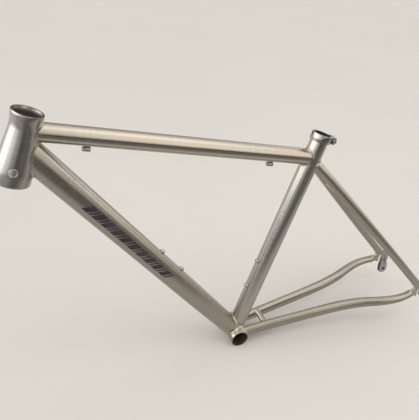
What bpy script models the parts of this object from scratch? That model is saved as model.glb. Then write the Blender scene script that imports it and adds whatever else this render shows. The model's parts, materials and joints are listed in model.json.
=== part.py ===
"""Bare hardtail bicycle frame, welded from drawn metal tubes.

Frame of reference: +X towards the head tube, +Y to the rider's left, +Z up, origin under
the middle of the frame's length, level with the underside of the bottom bracket shell.
The tubes are drawn from the shell's centre and hang on one empty that sets them there.
All dimensions are in millimetres and angles in degrees; MM turns lengths into metres.

Each piece carries live Boolean modifiers. Their tools are in the "cutters" collection and
run a few millimetres past the surfaces they cut.
"""
import math

import bmesh
import bpy
from mathutils import Matrix, Vector

MM = 0.001

# ------------------------------------------------------------------ shared dimensions
GAP = 0.3                       # clearance between neighbouring pieces

SEAT_ANGLE = 73.0               # seat tube to ground
SEAT_OD = 34.9
SEAT_LENGTH = 482.3             # bottom bracket centre to the tube's top

HEAD_ANGLE = 70.8
HEAD_NODE = (393.2, 517.1)      # x, z where the top tube's axis meets the head tube's

TOP_OD = 31.8
TOP_WALL = 0.9
TOP_AT_SEAT = 434.1             # top tube's axis on the seat tube, from the shell's centre

DOWN_AT_HEAD = -23.96           # down tube's axis on the head tube's, from the head node

BB_OD = 40.0                    # bottom bracket shell
BB_ID = 34.2
BB_WIDTH = 68.0
BB_BEVEL = 0.5

AXLE = (-443.0, 64.0)           # rear axle, x and z
HUB_WIDTH = 135.0               # between the dropouts
PLATE = 6.0                     # dropout thickness

SHELL_PLACE = (11.95, BB_OD / 2)    # shell's centre from the origin: forward and up

# facets round each kind of part
RIM = 32                        # main tubes
RING = 40                       # head tube and shell
STAY_FACETS = 18
BRIDGE_FACETS = 28
DROPOUT_HOLE_FACETS = 28
BOSS_FACETS = 18

SIDES = (("left", 1), ("right", -1))


# ------------------------------------------------------------------ numbers and frames
def vec_mm(x, y, z):
    return Vector((x * MM, y * MM, z * MM))


def read_table(table, place):
    """Smooth (Hermite) reading of a table of (place, value) rows, held level past its ends."""
    if place <= table[0][0]:
        return table[0][1]
    if place >= table[-1][0]:
        return table[-1][1]

    def slope(i):
        before, after = max(i - 1, 0), min(i + 1, len(table) - 1)
        return (table[after][1] - table[before][1]) / (table[after][0] - table[before][0])

    i = next(k for k in range(len(table) - 1) if place <= table[k + 1][0])
    start, value0 = table[i]
    end, value1 = table[i + 1]
    span = end - start
    u = (place - start) / span
    rise0, rise1 = slope(i) * span, slope(i + 1) * span
    return ((2 * u**3 - 3 * u**2 + 1) * value0 + (u**3 - 2 * u**2 + u) * rise0
            + (-2 * u**3 + 3 * u**2) * value1 + (u**3 - u**2) * rise1)


def frame_matrix(origin, z_axis, x_hint):
    """Axes with Z along z_axis and X as near x_hint as a right angle allows."""
    z = Vector(z_axis).normalized()
    y = z.cross(Vector(x_hint)).normalized()
    x = y.cross(z)
    matrix = Matrix((x, y, z)).transposed().to_4x4()
    matrix.translation = origin
    return matrix


def crosswise(origin):
    """Frame whose local Z points left across the bicycle and local X forward."""
    return frame_matrix(origin, LEFT, FORWARD)


def local_x(matrix):
    return (matrix.to_3x3() @ FORWARD).normalized()


def arc(centre, radius, start, end, steps):
    """Points on a circle from angle start to angle end."""
    angles = [math.radians(start + (end - start) * i / steps) for i in range(steps + 1)]
    return [(centre[0] + radius * math.cos(angle), centre[1] + radius * math.sin(angle))
            for angle in angles]


# ------------------------------------------------------------------ scene
for old in list(bpy.data.objects):
    bpy.data.objects.remove(old, do_unlink=True)

parts = bpy.data.collections.new("bicycle_frame")
tools = bpy.data.collections.new("cutters")
bpy.context.scene.collection.children.link(parts)
bpy.context.scene.collection.children.link(tools)


# ------------------------------------------------------------------ object builders
def new_object(name, data, coll, matrix=None):
    ob = bpy.data.objects.new(name, data)
    coll.objects.link(ob)
    if matrix is not None:
        ob.location = matrix.to_translation()
        ob.rotation_mode = 'QUATERNION'
        ob.rotation_quaternion = matrix.to_quaternion()
    if coll is tools:
        ob.hide_render = True
        ob.display_type = 'WIRE'
    return ob


def mesh_object(name, bm, coll, matrix=None):
    bmesh.ops.recalc_face_normals(bm, faces=bm.faces)
    mesh = bpy.data.meshes.new(name)
    bm.to_mesh(mesh)
    bm.free()
    mesh.shade_smooth()
    mesh.set_sharp_from_angle(angle=math.radians(35))
    return new_object(name, mesh, coll, matrix)


def rod(name, coll, matrix, radius, low, high, facets=RIM):
    """Solid cylinder along local Z from low to high."""
    bm = bmesh.new()
    bmesh.ops.create_cone(bm, cap_ends=True, cap_tris=False, segments=facets,
                          radius1=radius * MM, radius2=radius * MM, depth=(high - low) * MM)
    bmesh.ops.translate(bm, verts=bm.verts, vec=(0, 0, (low + high) / 2 * MM))
    return mesh_object(name, bm, coll, matrix)


def block(name, coll, matrix, low, high):
    """Box between two opposite local corners."""
    bm = bmesh.new()
    bmesh.ops.create_cube(bm, size=1.0)
    for vert in bm.verts:
        vert.co = Vector([(low[i] + high[i]) / 2 * MM + vert.co[i] * (high[i] - low[i]) * MM
                          for i in range(3)])
    return mesh_object(name, bm, coll, matrix)


def loft(name, coll, rings, matrix=None):
    """Closed skin through rings of equal count, capped at both ends."""
    bm = bmesh.new()
    rows = [[bm.verts.new(point) for point in ring] for ring in rings]
    count = len(rows[0])
    for row, following in zip(rows, rows[1:]):
        for i in range(count):
            j = (i + 1) % count
            bm.faces.new((row[i], row[j], following[j], following[i]))
    bm.faces.new(rows[0][::-1])
    bm.faces.new(rows[-1])
    return mesh_object(name, bm, coll, matrix)


def flat_ring(radius_x, radius_y, z, facets):
    return [Vector((radius_x * MM * math.cos(math.tau * i / facets),
                    radius_y * MM * math.sin(math.tau * i / facets), z * MM))
            for i in range(facets)]


def solid_turned(name, coll, matrix, profile, facets):
    """Solid of revolution about local Z through (radius, height) rows."""
    rings = [flat_ring(radius, radius, height, facets) for radius, height in profile]
    return loft(name, coll, rings, matrix)


def turned(name, coll, matrix, profile, steps):
    """Hollow part: a closed (radius, height) section turned about local Z by a Screw modifier.

    The section runs down its outer side."""
    mesh = bpy.data.meshes.new(name)
    points = [(radius * MM, 0.0, height * MM) for radius, height in profile]
    edges = [(i, (i + 1) % len(points)) for i in range(len(points))]
    mesh.from_pydata(points, edges, [])
    ob = new_object(name, mesh, coll, matrix)
    turn = ob.modifiers.new("turn", 'SCREW')
    turn.axis = 'Z'
    turn.angle = math.tau
    turn.steps = steps
    turn.render_steps = steps
    turn.use_merge_vertices = True
    turn.merge_threshold = 0.00001
    turn.use_smooth_shade = True
    return ob


def plate(name, coll, outline, y0, y1):
    """Flat (x, z) outline as thick as the span from y0 to y1."""
    curve = bpy.data.curves.new(name + "_outline", 'CURVE')
    curve.dimensions = '2D'
    curve.fill_mode = 'BOTH'
    curve.extrude = abs(y1 - y0) / 2 * MM
    spline = curve.splines.new('POLY')
    spline.points.add(len(outline) - 1)
    for point, (x, z) in zip(spline.points, outline):
        point.co = (x * MM, z * MM, 0.0, 1.0)
    spline.use_cyclic_u = True
    curve_ob = bpy.data.objects.new(name + "_outline", curve)
    parts.objects.link(curve_ob)
    # the curve's local Z points along -Y of the bicycle
    curve_ob.matrix_world = (Matrix.Translation((0, (y0 + y1) / 2 * MM, 0))
                             @ Matrix.Rotation(math.pi / 2, 4, 'X'))
    bpy.context.view_layer.update()
    depsgraph = bpy.context.evaluated_depsgraph_get()
    mesh = bpy.data.meshes.new_from_object(curve_ob.evaluated_get(depsgraph))
    bm = bmesh.new()
    bm.from_mesh(mesh)
    bmesh.ops.remove_doubles(bm, verts=bm.verts, dist=0.00001)
    bmesh.ops.recalc_face_normals(bm, faces=bm.faces)
    bm.to_mesh(mesh)
    bm.free()
    ob = new_object(name, mesh, coll)
    ob.matrix_world = curve_ob.matrix_world.copy()
    bpy.data.objects.remove(curve_ob, do_unlink=True)
    return ob


def boolean(ob, other, operation):
    modifier = ob.modifiers.new(operation.lower(), 'BOOLEAN')
    modifier.operation = operation
    modifier.solver = 'EXACT'
    modifier.object = other


def subtract(ob, *cutters):
    for cutter in cutters:
        boolean(ob, cutter, 'DIFFERENCE')


def screw(name, matrix, lift, head_radius, head_height, shank_radius, shank_length,
          socket_radius, socket_depth, facets):
    """Socket screw: its head's underside stands at `lift` on local Z, shank below."""
    top = lift + head_height
    body = solid_turned(name, parts, matrix,
                        [(shank_radius, lift - shank_length), (shank_radius, lift),
                         (head_radius, lift), (head_radius, lift + head_height * 0.55),
                         (head_radius * 0.82, top)], facets)
    subtract(body, rod("socket_" + name, tools, matrix, socket_radius,
                       top - socket_depth, top + 2, 6))


# ------------------------------------------------------------------ axes
FORWARD = Vector((1, 0, 0))
LEFT = Vector((0, 1, 0))
ORIGIN = Vector((0, 0, 0))


def leaning_back(angle):
    """Direction up a tube that leans back at this angle to the ground."""
    return Vector((-math.cos(math.radians(angle)), 0, math.sin(math.radians(angle))))


SEAT_DIR = leaning_back(SEAT_ANGLE)
SEAT_REAR = Vector((-SEAT_DIR.z, 0, SEAT_DIR.x))    # square to the seat tube, pointing back
HEAD_DIR = leaning_back(HEAD_ANGLE)

head_node = vec_mm(HEAD_NODE[0], 0, HEAD_NODE[1])
seat_node = SEAT_DIR * (TOP_AT_SEAT * MM)
down_end = head_node + HEAD_DIR * (DOWN_AT_HEAD * MM)

top_dir = (head_node - seat_node).normalized()
top_length = (head_node - seat_node).length / MM
down_dir = down_end.normalized()
down_length = down_end.length / MM

# local Z runs along each tube
seat_frame = frame_matrix(ORIGIN, SEAT_DIR, -SEAT_REAR)             # local X forward
head_frame = frame_matrix(head_node, HEAD_DIR, FORWARD)             # local X forward
top_frame = frame_matrix(seat_node, top_dir, Vector((0, 0, -1)))    # local X down
down_frame = frame_matrix(ORIGIN, down_dir, Vector((-1, 0, 1)))     # local X up and back
shell_frame = crosswise(ORIGIN)

# ------------------------------------------------------------------ head tube
HEAD_UP = 31.2                  # head tube above the node
HEAD_DOWN = 85.6                # and below it
HEAD_ID_TOP = 44.0              # press-fit upper headset cup
HEAD_ID_LOW = 56.0              # press-fit lower headset cup
# both tables: radius, height from the node along the axis
HEAD_PROFILE = [(24.5, HEAD_UP), (25.1, 30.4), (24.9, 25.5), (23.9, 20.0), (23.1, 14.0),
                (22.9, 8.0), (23.4, 1.0), (24.3, -9.0), (25.8, -22.0), (27.8, -40.0),
                (29.7, -57.0), (30.6, -68.0), (30.6, -84.8), (30.0, -HEAD_DOWN)]
HEAD_BORE = [(HEAD_ID_LOW / 2, -HEAD_DOWN), (HEAD_ID_LOW / 2, -66.0), (25.4, -42.0),
             (22.0, -9.0), (21.1, 1.0), (20.8, 8.0), (HEAD_ID_TOP / 2, 16.0),
             (HEAD_ID_TOP / 2, HEAD_UP)]

turned("head_tube", parts, head_frame, HEAD_PROFILE + HEAD_BORE, RING)


def head_envelope(offset, low=-math.inf, high=math.inf):
    """Head tube's outer profile grown by offset, for the rows between two heights."""
    return [(radius + offset, height) for radius, height in HEAD_PROFILE
            if low < height < high]


# the envelope, run past both ends, cuts the tubes that meet the head tube
head_cut = solid_turned("cut_head", tools, head_frame,
                        [(HEAD_PROFILE[0][0] + GAP, HEAD_UP + 6)] + head_envelope(GAP)
                        + [(HEAD_PROFILE[-1][0] + GAP, -HEAD_DOWN - 6)], RING)

# ------------------------------------------------------------------ bottom bracket shell
shell_half = BB_WIDTH / 2
turned("bottom_bracket_shell", parts, shell_frame,
       [(BB_OD / 2 - BB_BEVEL, shell_half), (BB_OD / 2, shell_half - BB_BEVEL),
        (BB_OD / 2, -shell_half + BB_BEVEL), (BB_OD / 2 - BB_BEVEL, -shell_half),
        (BB_ID / 2, -shell_half), (BB_ID / 2, shell_half)], RING)
shell_cut = rod("cut_bb", tools, shell_frame, BB_OD / 2 + GAP,
                -shell_half - 6, shell_half + 6, RING)

# ------------------------------------------------------------------ down tube
DOWN_ROUND = 44.5               # diameter before the tube is ovalised
DOWN_WALL = 1.0
DOWN_SPANS = 8                  # lofted lengths from end to end
# fraction of the length from the shell, height of the oval
DOWN_TALL = ((0.0, 39.6), (0.25, 43.6), (0.55, 45.4), (0.8, 47.2), (1.0, 48.8))


def wide_from_tall(tall):
    """Width of an oval that keeps the round tube's perimeter."""
    half_tall = tall / 2
    radius = DOWN_ROUND / 2
    return 2 * math.sqrt(2 * radius * radius - half_tall * half_tall)


def down_rings(offset, overrun):
    """Rings of the down tube, grown by offset and run past both ends by overrun."""
    start, end = -overrun, down_length + overrun
    rings = []
    for k in range(DOWN_SPANS + 1):
        z = start + (end - start) * k / DOWN_SPANS
        tall = read_table(DOWN_TALL, z / down_length)
        rings.append(flat_ring(tall / 2 + offset, wide_from_tall(tall) / 2 + offset, z, RIM))
    return rings


down_tube = loft("down_tube", parts, down_rings(0, 0), down_frame)
down_cut = loft("cut_down", tools, down_rings(GAP, 2), down_frame)
down_bore = loft("bore_down", tools, down_rings(-DOWN_WALL, 6), down_frame)
subtract(down_tube, down_bore, shell_cut, head_cut)

# ------------------------------------------------------------------ seat tube
SEAT_ID_TOP = 31.6              # reamed for the seatpost
SEAT_ID_LOW = 32.7
SEAT_REAM = 130.0               # depth of the reamed part
SEAT_STEP = 6.0                 # length of the taper below it
PINCH_LENGTH = 34.0             # slot in the back of the tube's top
PINCH_HALF = 1.1                # half the slot's width
PINCH_HOLE_R = 2.2              # relief hole at the slot's foot
PINCH_INNER = 8.0               # both cutters start this far behind the tube's axis

seat_tube = rod("seat_tube", parts, seat_frame, SEAT_OD / 2, 0, SEAT_LENGTH)
seat_cut = rod("cut_seat", tools, seat_frame, SEAT_OD / 2 + GAP, -2, SEAT_LENGTH + 10)
ream_foot = SEAT_LENGTH - SEAT_REAM
seat_bore = solid_turned("bore_seat", tools, seat_frame,
                         [(SEAT_ID_TOP / 2, SEAT_LENGTH + 5), (SEAT_ID_TOP / 2, ream_foot),
                          (SEAT_ID_LOW / 2, ream_foot - SEAT_STEP), (SEAT_ID_LOW / 2, -5)], RIM)
pinch_foot = SEAT_LENGTH - PINCH_LENGTH
pinch_slot = block("cut_pinch_slot", tools, seat_frame,
                   (-SEAT_OD, -PINCH_HALF, pinch_foot),
                   (-PINCH_INNER, PINCH_HALF, SEAT_LENGTH + 5))
pinch_relief = rod("cut_pinch_relief", tools,
                   frame_matrix(SEAT_DIR * (pinch_foot * MM), SEAT_REAR, SEAT_DIR),
                   PINCH_HOLE_R, PINCH_INNER, SEAT_OD, 20)
subtract(seat_tube, seat_bore, shell_cut, down_cut, pinch_slot, pinch_relief)

# ------------------------------------------------------------------ top tube
top_tube = rod("top_tube", parts, top_frame, TOP_OD / 2, 0, top_length)
top_bore = rod("bore_top", tools, top_frame, TOP_OD / 2 - TOP_WALL, -4, top_length + 4)
subtract(top_tube, top_bore, head_cut, down_cut, seat_cut)

# ------------------------------------------------------------------ stays
STAY_WALL = 0.9
TIP_LENGTH = 7.0                # length over which a stay's end is rounded off
TIP_STEPS = 2
TIP_SHIFT = 0.35                # share of a step from the very end to the first tip ring

# chainstay axis: distance behind the shell's centre, distance from the middle plane
CHAINSTAY_Y = ((9.0, 19.4), (70.0, 22.8), (130.0, 27.7), (190.0, 33.0), (250.0, 39.4),
               (300.0, 50.0), (345.0, 65.2), (385.0, 74.0), (424.0, 71.3))
# chainstay tables by fraction of the length, front to rear
CHAINSTAY_Z = ((0.0, 3.4), (0.34, 23.0), (0.65, 41.2), (0.85, 51.7), (1.0, 59.4))   # axis height
CHAINSTAY_TALL = ((0.0, 13.1), (0.34, 13.5), (0.65, 12.0), (0.85, 10.2), (1.0, 8.4))    # half
CHAINSTAY_WIDE = ((0.0, 9.1), (0.35, 9.1), (0.6, 10.6), (0.75, 10.4), (1.0, 8.0))       # half
CHAINSTAY_START, CHAINSTAY_END = CHAINSTAY_Y[0][0], CHAINSTAY_Y[-1][0]
CHAINSTAY_SPANS = 19
CHAINSTAY_BORE = (-4.0, 400.0)  # ends of the bore, behind the shell's centre

SEATSTAY_TOP = 422.6            # along the seat tube
SEATSTAY_TOP_OFF = (-12.0, -3.0)    # the stay's top from there, x and z
SEATSTAY_Y = (15.0, 70.5)       # straight run of the axis, seat tube to dropout
SEATSTAY_BOW = 8.0              # how far the stays bow outwards of it
SEATSTAY_TUCK = 3.6             # and how far their tops bend in to the seat tube
SEATSTAY_TUCK_FADE = 0.045      # fraction of the length in which the bend dies away
SEATSTAY_START = -0.02          # stays run a little past the top point, into the mitre
SEATSTAY_BENT = 0.14            # end of the closely spaced stations at the bent top
SEATSTAY_BORE_END = 0.945
SEATSTAY_FOOT = (-434.9, 80.9)  # x, z
SEATSTAY_R = ((0.0, 9.2), (0.6, 9.0), (1.0, 8.4))   # fraction from the top, radius


def tube_rings(path, tall, wide, grow=0, tip_start=0, tip_end=0):
    """Oval rings square to a path, with half sizes read from the tall and wide tables.

    tip_start and tip_end round the ends over that length."""
    last = len(path) - 1
    lengths = [0.0]
    for start, end in zip(path, path[1:]):
        lengths.append(lengths[-1] + (end - start).length)
    total = lengths[-1]

    def point_and_tangent(dist):
        i = next((k for k in range(last - 1) if dist <= lengths[k + 1]), last - 1)
        u = (dist - lengths[i]) / (lengths[i + 1] - lengths[i])
        before = (path[i + 1] - path[max(i - 1, 0)]).normalized()
        after = (path[min(i + 2, last)] - path[i]).normalized()
        return path[i].lerp(path[i + 1], u), before.lerp(after, u).normalized()

    def ring(dist, factor):
        point, tangent = point_and_tangent(dist)
        across = Vector((0, 0, 1)).cross(tangent).normalized()
        normal = tangent.cross(across)
        half_tall = (read_table(tall, dist / total) + grow) * factor * MM
        half_wide = (read_table(wide, dist / total) + grow) * factor * MM
        return [point + normal * (half_tall * math.cos(math.tau * i / STAY_FACETS))
                + across * (half_wide * math.sin(math.tau * i / STAY_FACETS))
                for i in range(STAY_FACETS)]

    # stations: distance along the path, scale of the section
    tip_angles = [math.pi / 2 * (k + TIP_SHIFT) / (TIP_STEPS + TIP_SHIFT)
                  for k in range(TIP_STEPS)]
    low = tip_start * MM
    high = total - tip_end * MM
    stations = []
    if tip_start:
        stations += [(tip_start * MM * (1 - math.cos(angle)), math.sin(angle))
                     for angle in tip_angles]
    stations += [(low + (high - low) * k / last, 1.0) for k in range(last + 1)]
    if tip_end:
        stations += [(total - tip_end * MM * (1 - math.cos(angle)), math.sin(angle))
                     for angle in reversed(tip_angles)]
    return [ring(dist, factor) for dist, factor in stations]


def chainstay_path(sign, start=CHAINSTAY_START, end=CHAINSTAY_END):
    points = []
    for k in range(CHAINSTAY_SPANS + 1):
        back = start + (end - start) * k / CHAINSTAY_SPANS
        fraction = (back - CHAINSTAY_START) / (CHAINSTAY_END - CHAINSTAY_START)
        points.append(vec_mm(-back, sign * read_table(CHAINSTAY_Y, back),
                             read_table(CHAINSTAY_Z, fraction)))
    return points


def seatstay_point(sign, t):
    """Point on a seatstay's axis, t = 0 at the top and 1 at the dropout."""
    top = SEAT_DIR * (SEATSTAY_TOP * MM)
    x = (top.x / MM + SEATSTAY_TOP_OFF[0]) * (1 - t) + SEATSTAY_FOOT[0] * t
    z = (top.z / MM + SEATSTAY_TOP_OFF[1]) * (1 - t) + SEATSTAY_FOOT[1] * t
    y = SEATSTAY_Y[0] * (1 - t) + SEATSTAY_Y[1] * t + SEATSTAY_BOW * 4 * t * (1 - t)
    y -= SEATSTAY_TUCK * math.exp(-max(t, 0) / SEATSTAY_TUCK_FADE)
    return vec_mm(x, sign * y, z)


def seatstay_path(sign, start=SEATSTAY_START, end=1.0):
    """Stations close together at the bent top, wider apart below."""
    near = [start + (SEATSTAY_BENT - start) * k / 4 for k in range(5)]
    far = [SEATSTAY_BENT + (end - SEATSTAY_BENT) * k / 5 for k in range(1, 6)]
    return [seatstay_point(sign, t) for t in near + far]


def stay(name, path, bore_path, tall, wide, tip_start):
    """Bored stay, and the grown envelope that cuts its neighbours."""
    tube = loft(name, parts, tube_rings(path, tall, wide, 0, tip_start, TIP_LENGTH))
    envelope = loft("cut_" + name, tools, tube_rings(path, tall, wide, GAP))
    subtract(tube, loft("bore_" + name, tools, tube_rings(bore_path, tall, wide, -STAY_WALL)))
    return tube, envelope


side_stays = {}
chainstay_cuts = []
seatstay_cuts = []
for side, sign in SIDES:
    chainstay, envelope = stay("chainstay_" + side, chainstay_path(sign),
                               chainstay_path(sign, *CHAINSTAY_BORE),
                               CHAINSTAY_TALL, CHAINSTAY_WIDE, 0)
    subtract(chainstay, shell_cut, seat_cut)
    chainstay_cuts.append(envelope)
    seatstay, envelope = stay("seatstay_" + side, seatstay_path(sign),
                              seatstay_path(sign, 0.0, SEATSTAY_BORE_END),
                              SEATSTAY_R, SEATSTAY_R, TIP_LENGTH)
    subtract(seatstay, seat_cut)
    seatstay_cuts.append(envelope)
    side_stays[side] = (chainstay, seatstay)

# ------------------------------------------------------------------ bridges
BRIDGE_R = 6.6
BRIDGE_WALL = 1.0
CHAINSTAY_BRIDGE = (-66.0, 18.0)    # x, z
CHAINSTAY_BRIDGE_HALF = 21.0        # half its length before it is mitred
SEATSTAY_BRIDGE_T = 0.20            # along the seatstays, from the top


def bridge(name, bore_name, centre, half, stay_cuts):
    """Crosswise tube between a pair of stays, mitred to both."""
    matrix = crosswise(centre)
    tube = rod(name, parts, matrix, BRIDGE_R, -half, half, BRIDGE_FACETS)
    bore = rod(bore_name, tools, matrix, BRIDGE_R - BRIDGE_WALL, -half - 5, half + 5,
               BRIDGE_FACETS)
    subtract(tube, bore, *stay_cuts)


bridge("chainstay_bridge", "bore_cs_bridge",
       vec_mm(CHAINSTAY_BRIDGE[0], 0, CHAINSTAY_BRIDGE[1]), CHAINSTAY_BRIDGE_HALF,
       chainstay_cuts)
bridge_end = seatstay_point(1, SEATSTAY_BRIDGE_T)
bridge("seatstay_bridge", "bore_ss_bridge", Vector((bridge_end.x, 0, bridge_end.z)),
       bridge_end.y / MM, seatstay_cuts)

# ------------------------------------------------------------------ dropouts
# outlines are relative to the axle: x forward, z up
HALF_TAB = 6.2                  # half the width of the tab on the seatstay's line
AXLE_SLOT_R = 5.1               # axle slot's round top and half width
seatstay_up = (seatstay_point(1, 0.9) - seatstay_point(1, 1.0)).normalized()
tab_x, tab_z = Vector((seatstay_up.x, seatstay_up.z)).normalized()
foot_x, foot_z = SEATSTAY_FOOT[0] - AXLE[0], SEATSTAY_FOOT[1] - AXLE[1]


def on_seatstay(along, across):
    """Point beside the seatstay's axis: across > 0 is its upper, rear side."""
    return (foot_x + tab_x * along - tab_z * across, foot_z + tab_z * along + tab_x * across)


# lower edge, chainstay tab at the front, then round the seatstay tab; both sides share it
DROPOUT_FRONT = [
    (4.0, -14.6), (8.5, -14.8), (12.0, -13.2), (14.6, -11.4), (24.4, -12.2), (26.0, -10.6),
    (25.6, 1.8), (24.0, 2.8), (18.6, 4.6), (15.0, 8.4),
    on_seatstay(3.0, -HALF_TAB), on_seatstay(15.0, -HALF_TAB),
    on_seatstay(16.5, -HALF_TAB + 1.6), on_seatstay(16.5, HALF_TAB - 1.6),
    on_seatstay(15.0, HALF_TAB)]
# the left plate's rear edge is round; the right one reaches back and down to the hanger
DROPOUT_REAR = {
    "left": [on_seatstay(0.0, HALF_TAB)] + arc((0, 0), 13.6, 128, 232, 10)
    + [(-5.6, -16.4), (-4.0, -16.4)],
    "right": [on_seatstay(0.0, HALF_TAB), on_seatstay(-4.0, HALF_TAB + 2.0),
              (-19.0, 8.6), (-23.4, 3.4), (-25.4, -3.0), (-25.8, -12.0), (-25.4, -21.6),
              (-24.4, -22.6), (-8.2, -22.6), (-6.0, -21.0), (-4.0, -18.4)]}
# room cut for both tabs in the ends of the stays
STAY_END_CUT = [
    (12.0, -13.6), (26.4, -13.6), (26.4, 3.8), (14.0, 7.0),
    on_seatstay(4.0, -HALF_TAB - GAP), on_seatstay(17.0, -HALF_TAB - GAP),
    on_seatstay(17.0, HALF_TAB + GAP), on_seatstay(-10.0, HALF_TAB + GAP), (-10.0, 0.0)]


def from_axle(outline):
    """Outline given from the axle, moved to the shell's centre as origin."""
    return [(x + AXLE[0], z + AXLE[1]) for x, z in outline]


def axle_slot_cutter(side, y_mid):
    """Round hole at the axle, open straight down."""
    centre = vec_mm(AXLE[0], y_mid, AXLE[1])
    hole = rod("cut_axle_" + side, tools, crosswise(centre), AXLE_SLOT_R, -8, 8,
               DROPOUT_HOLE_FACETS)
    way = block("cut_slot_" + side, tools, Matrix.Translation(centre),
                (-AXLE_SLOT_R, -8, -40), (AXLE_SLOT_R, 8, 0))
    boolean(hole, way, 'UNION')
    return hole


dropouts = {}
for side, sign in SIDES:
    y_in, y_out = sign * HUB_WIDTH / 2, sign * (HUB_WIDTH / 2 + PLATE)
    dropouts[side] = plate("dropout_" + side, parts,
                           from_axle(DROPOUT_FRONT + DROPOUT_REAR[side]), y_in, y_out)
    subtract(dropouts[side], axle_slot_cutter(side, (y_in + y_out) / 2))
    stay_end_cut = plate("cut_dropout_" + side, tools, from_axle(STAY_END_CUT),
                         y_in - GAP * sign, y_out + GAP * sign)
    for tube in side_stays[side]:
        subtract(tube, stay_end_cut)

# ------------------------------------------------------------------ derailleur hanger
HANGER_Y = -HUB_WIDTH / 2        # inner face of the right dropout
TONGUE_T = 2.8                   # thickness of the hanger's tongue
HANGER_T = 7.4
# outlines and places from the axle: x, z
HANGER_HOLE = (-19.4, -45.4)
HANGER_HOLE_R = 5.0
HANGER_BOLT = (-12.2, -14.6)
HANGER_BOLT_HOLE_R = 2.3
HANGER_TONGUE = [(-6.6, -9.2), (-6.6, -23.6), (-18.4, -23.6), (-15.6, -9.8), (-13.0, -7.6),
                 (-9.0, -7.6)]
HANGER_POCKET = [(-4.0, -8.7), (-4.0, -24.6), (-20.0, -24.6), (-17.0, -7.0), (-4.0, -7.0)]
HANGER_BODY = ([(-6.6, -23.0), (-6.9, -36.0)] + arc(HANGER_HOLE, 11.4, -6, -180, 12)
               + [(-30.2, -37.0), (-27.6, -27.0), (-25.2, -23.0)])
HANGER_SCREW = dict(head_radius=3.6, head_height=2.0, shank_radius=2.0, shank_length=5.6,
                    socket_radius=1.3, socket_depth=1.2, facets=20)


def on_hanger(place):
    """Point on the hanger's inner face, given from the axle."""
    return vec_mm(AXLE[0] + place[0], HANGER_Y, AXLE[1] + place[1])


hanger = plate("derailleur_hanger", parts, from_axle(HANGER_BODY),
               HANGER_Y, HANGER_Y - HANGER_T)
tongue = plate("add_hanger_tongue", tools, from_axle(HANGER_TONGUE),
               HANGER_Y, HANGER_Y - TONGUE_T)
boolean(hanger, tongue, 'UNION')
hanger_hole = rod("cut_hanger_hole", tools, crosswise(on_hanger(HANGER_HOLE)),
                  HANGER_HOLE_R, -12, 4, DROPOUT_HOLE_FACETS)
# local Z points right, out of the dropout
hanger_bolt_frame = frame_matrix(on_hanger(HANGER_BOLT), -LEFT, FORWARD)
hanger_bolt_hole = rod("cut_hanger_bolt", tools, hanger_bolt_frame, HANGER_BOLT_HOLE_R,
                       -4, 12, 20)
subtract(hanger, hanger_hole, hanger_bolt_hole)
# the tongue lies in a pocket in the right dropout's inner face
pocket = plate("cut_hanger_pocket", tools, from_axle(HANGER_POCKET),
               HANGER_Y + 1.0, HANGER_Y - TONGUE_T - GAP)
subtract(dropouts["right"], pocket, hanger_bolt_hole)
screw("hanger_bolt", hanger_bolt_frame, PLATE + GAP, **HANGER_SCREW)

# ------------------------------------------------------------------ bottle bosses and bolts
BOSS_PITCH = 64.0                # bottle cage bolts, centre to centre
BOSS_SEAT_MID = 154.2            # middle of the pair along the seat tube
BOSS_DOWN_MID = 270.5            # middle of the pair along the down tube
BOSS_FLANGE_R = 5.6
BOSS_FLANGE_TOP = 1.7            # above the tube's surface
BOSS_BARREL_R = 4.0
BOSS_DEPTH = 9.0
BOSS_HOLE_R = 2.8
BOTTLE_SCREW = dict(head_radius=4.3, head_height=2.7, shank_radius=2.45, shank_length=11.0,
                    socket_radius=1.75, socket_depth=1.5, facets=BOSS_FACETS)


def boss(place, tube, matrix):
    """Boss and bolt let into a tube wall; local Z is the tube's outward normal."""
    name = "bottle_boss_" + place
    turned(name, parts, matrix,
           [(BOSS_FLANGE_R, BOSS_FLANGE_TOP), (BOSS_FLANGE_R, GAP), (BOSS_BARREL_R, GAP),
            (BOSS_BARREL_R, -BOSS_DEPTH), (BOSS_HOLE_R, -BOSS_DEPTH),
            (BOSS_HOLE_R, BOSS_FLANGE_TOP)], BOSS_FACETS)
    subtract(tube, rod("cut_" + name, tools, matrix, BOSS_BARREL_R + GAP, -12, 6, BOSS_FACETS))
    screw("bottle_bolt_" + place, matrix, BOSS_FLANGE_TOP + GAP, **BOTTLE_SCREW)


down_normal = local_x(down_frame)
for label, offset in (("lower", -BOSS_PITCH / 2), ("upper", BOSS_PITCH / 2)):
    along = BOSS_SEAT_MID + offset
    boss("seat_" + label, seat_tube,
         frame_matrix(SEAT_DIR * (along * MM) - SEAT_REAR * (SEAT_OD / 2 * MM),
                      -SEAT_REAR, SEAT_DIR))
    along = BOSS_DOWN_MID + offset
    surface = read_table(DOWN_TALL, along / down_length) / 2
    boss("down_" + label, down_tube,
         frame_matrix(down_dir * (along * MM) + down_normal * (surface * MM),
                      down_normal, down_dir))

# ------------------------------------------------------------------ cable stops
STOP_X = (("front", 298.2), ("rear", -39.0))    # where the stops hang under the top tube
STOP_DROP = TOP_OD / 2 + 6.0     # stop's axis below the tube's
STOP_PROFILE = [(3.6, -7.0), (4.1, -6.4), (4.1, 4.8), (3.0, 7.0)]   # radius, height
STOP_NECK = ((-8.5, -1.9, -5.0), (-1.0, 1.9, 4.0))      # opposite corners, local X down
FERRULE_R = 2.6
FERRULE_FLOOR = 3.0              # the ferrule's hole enters from the rear and ends here
CABLE_R = 1.0

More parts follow.
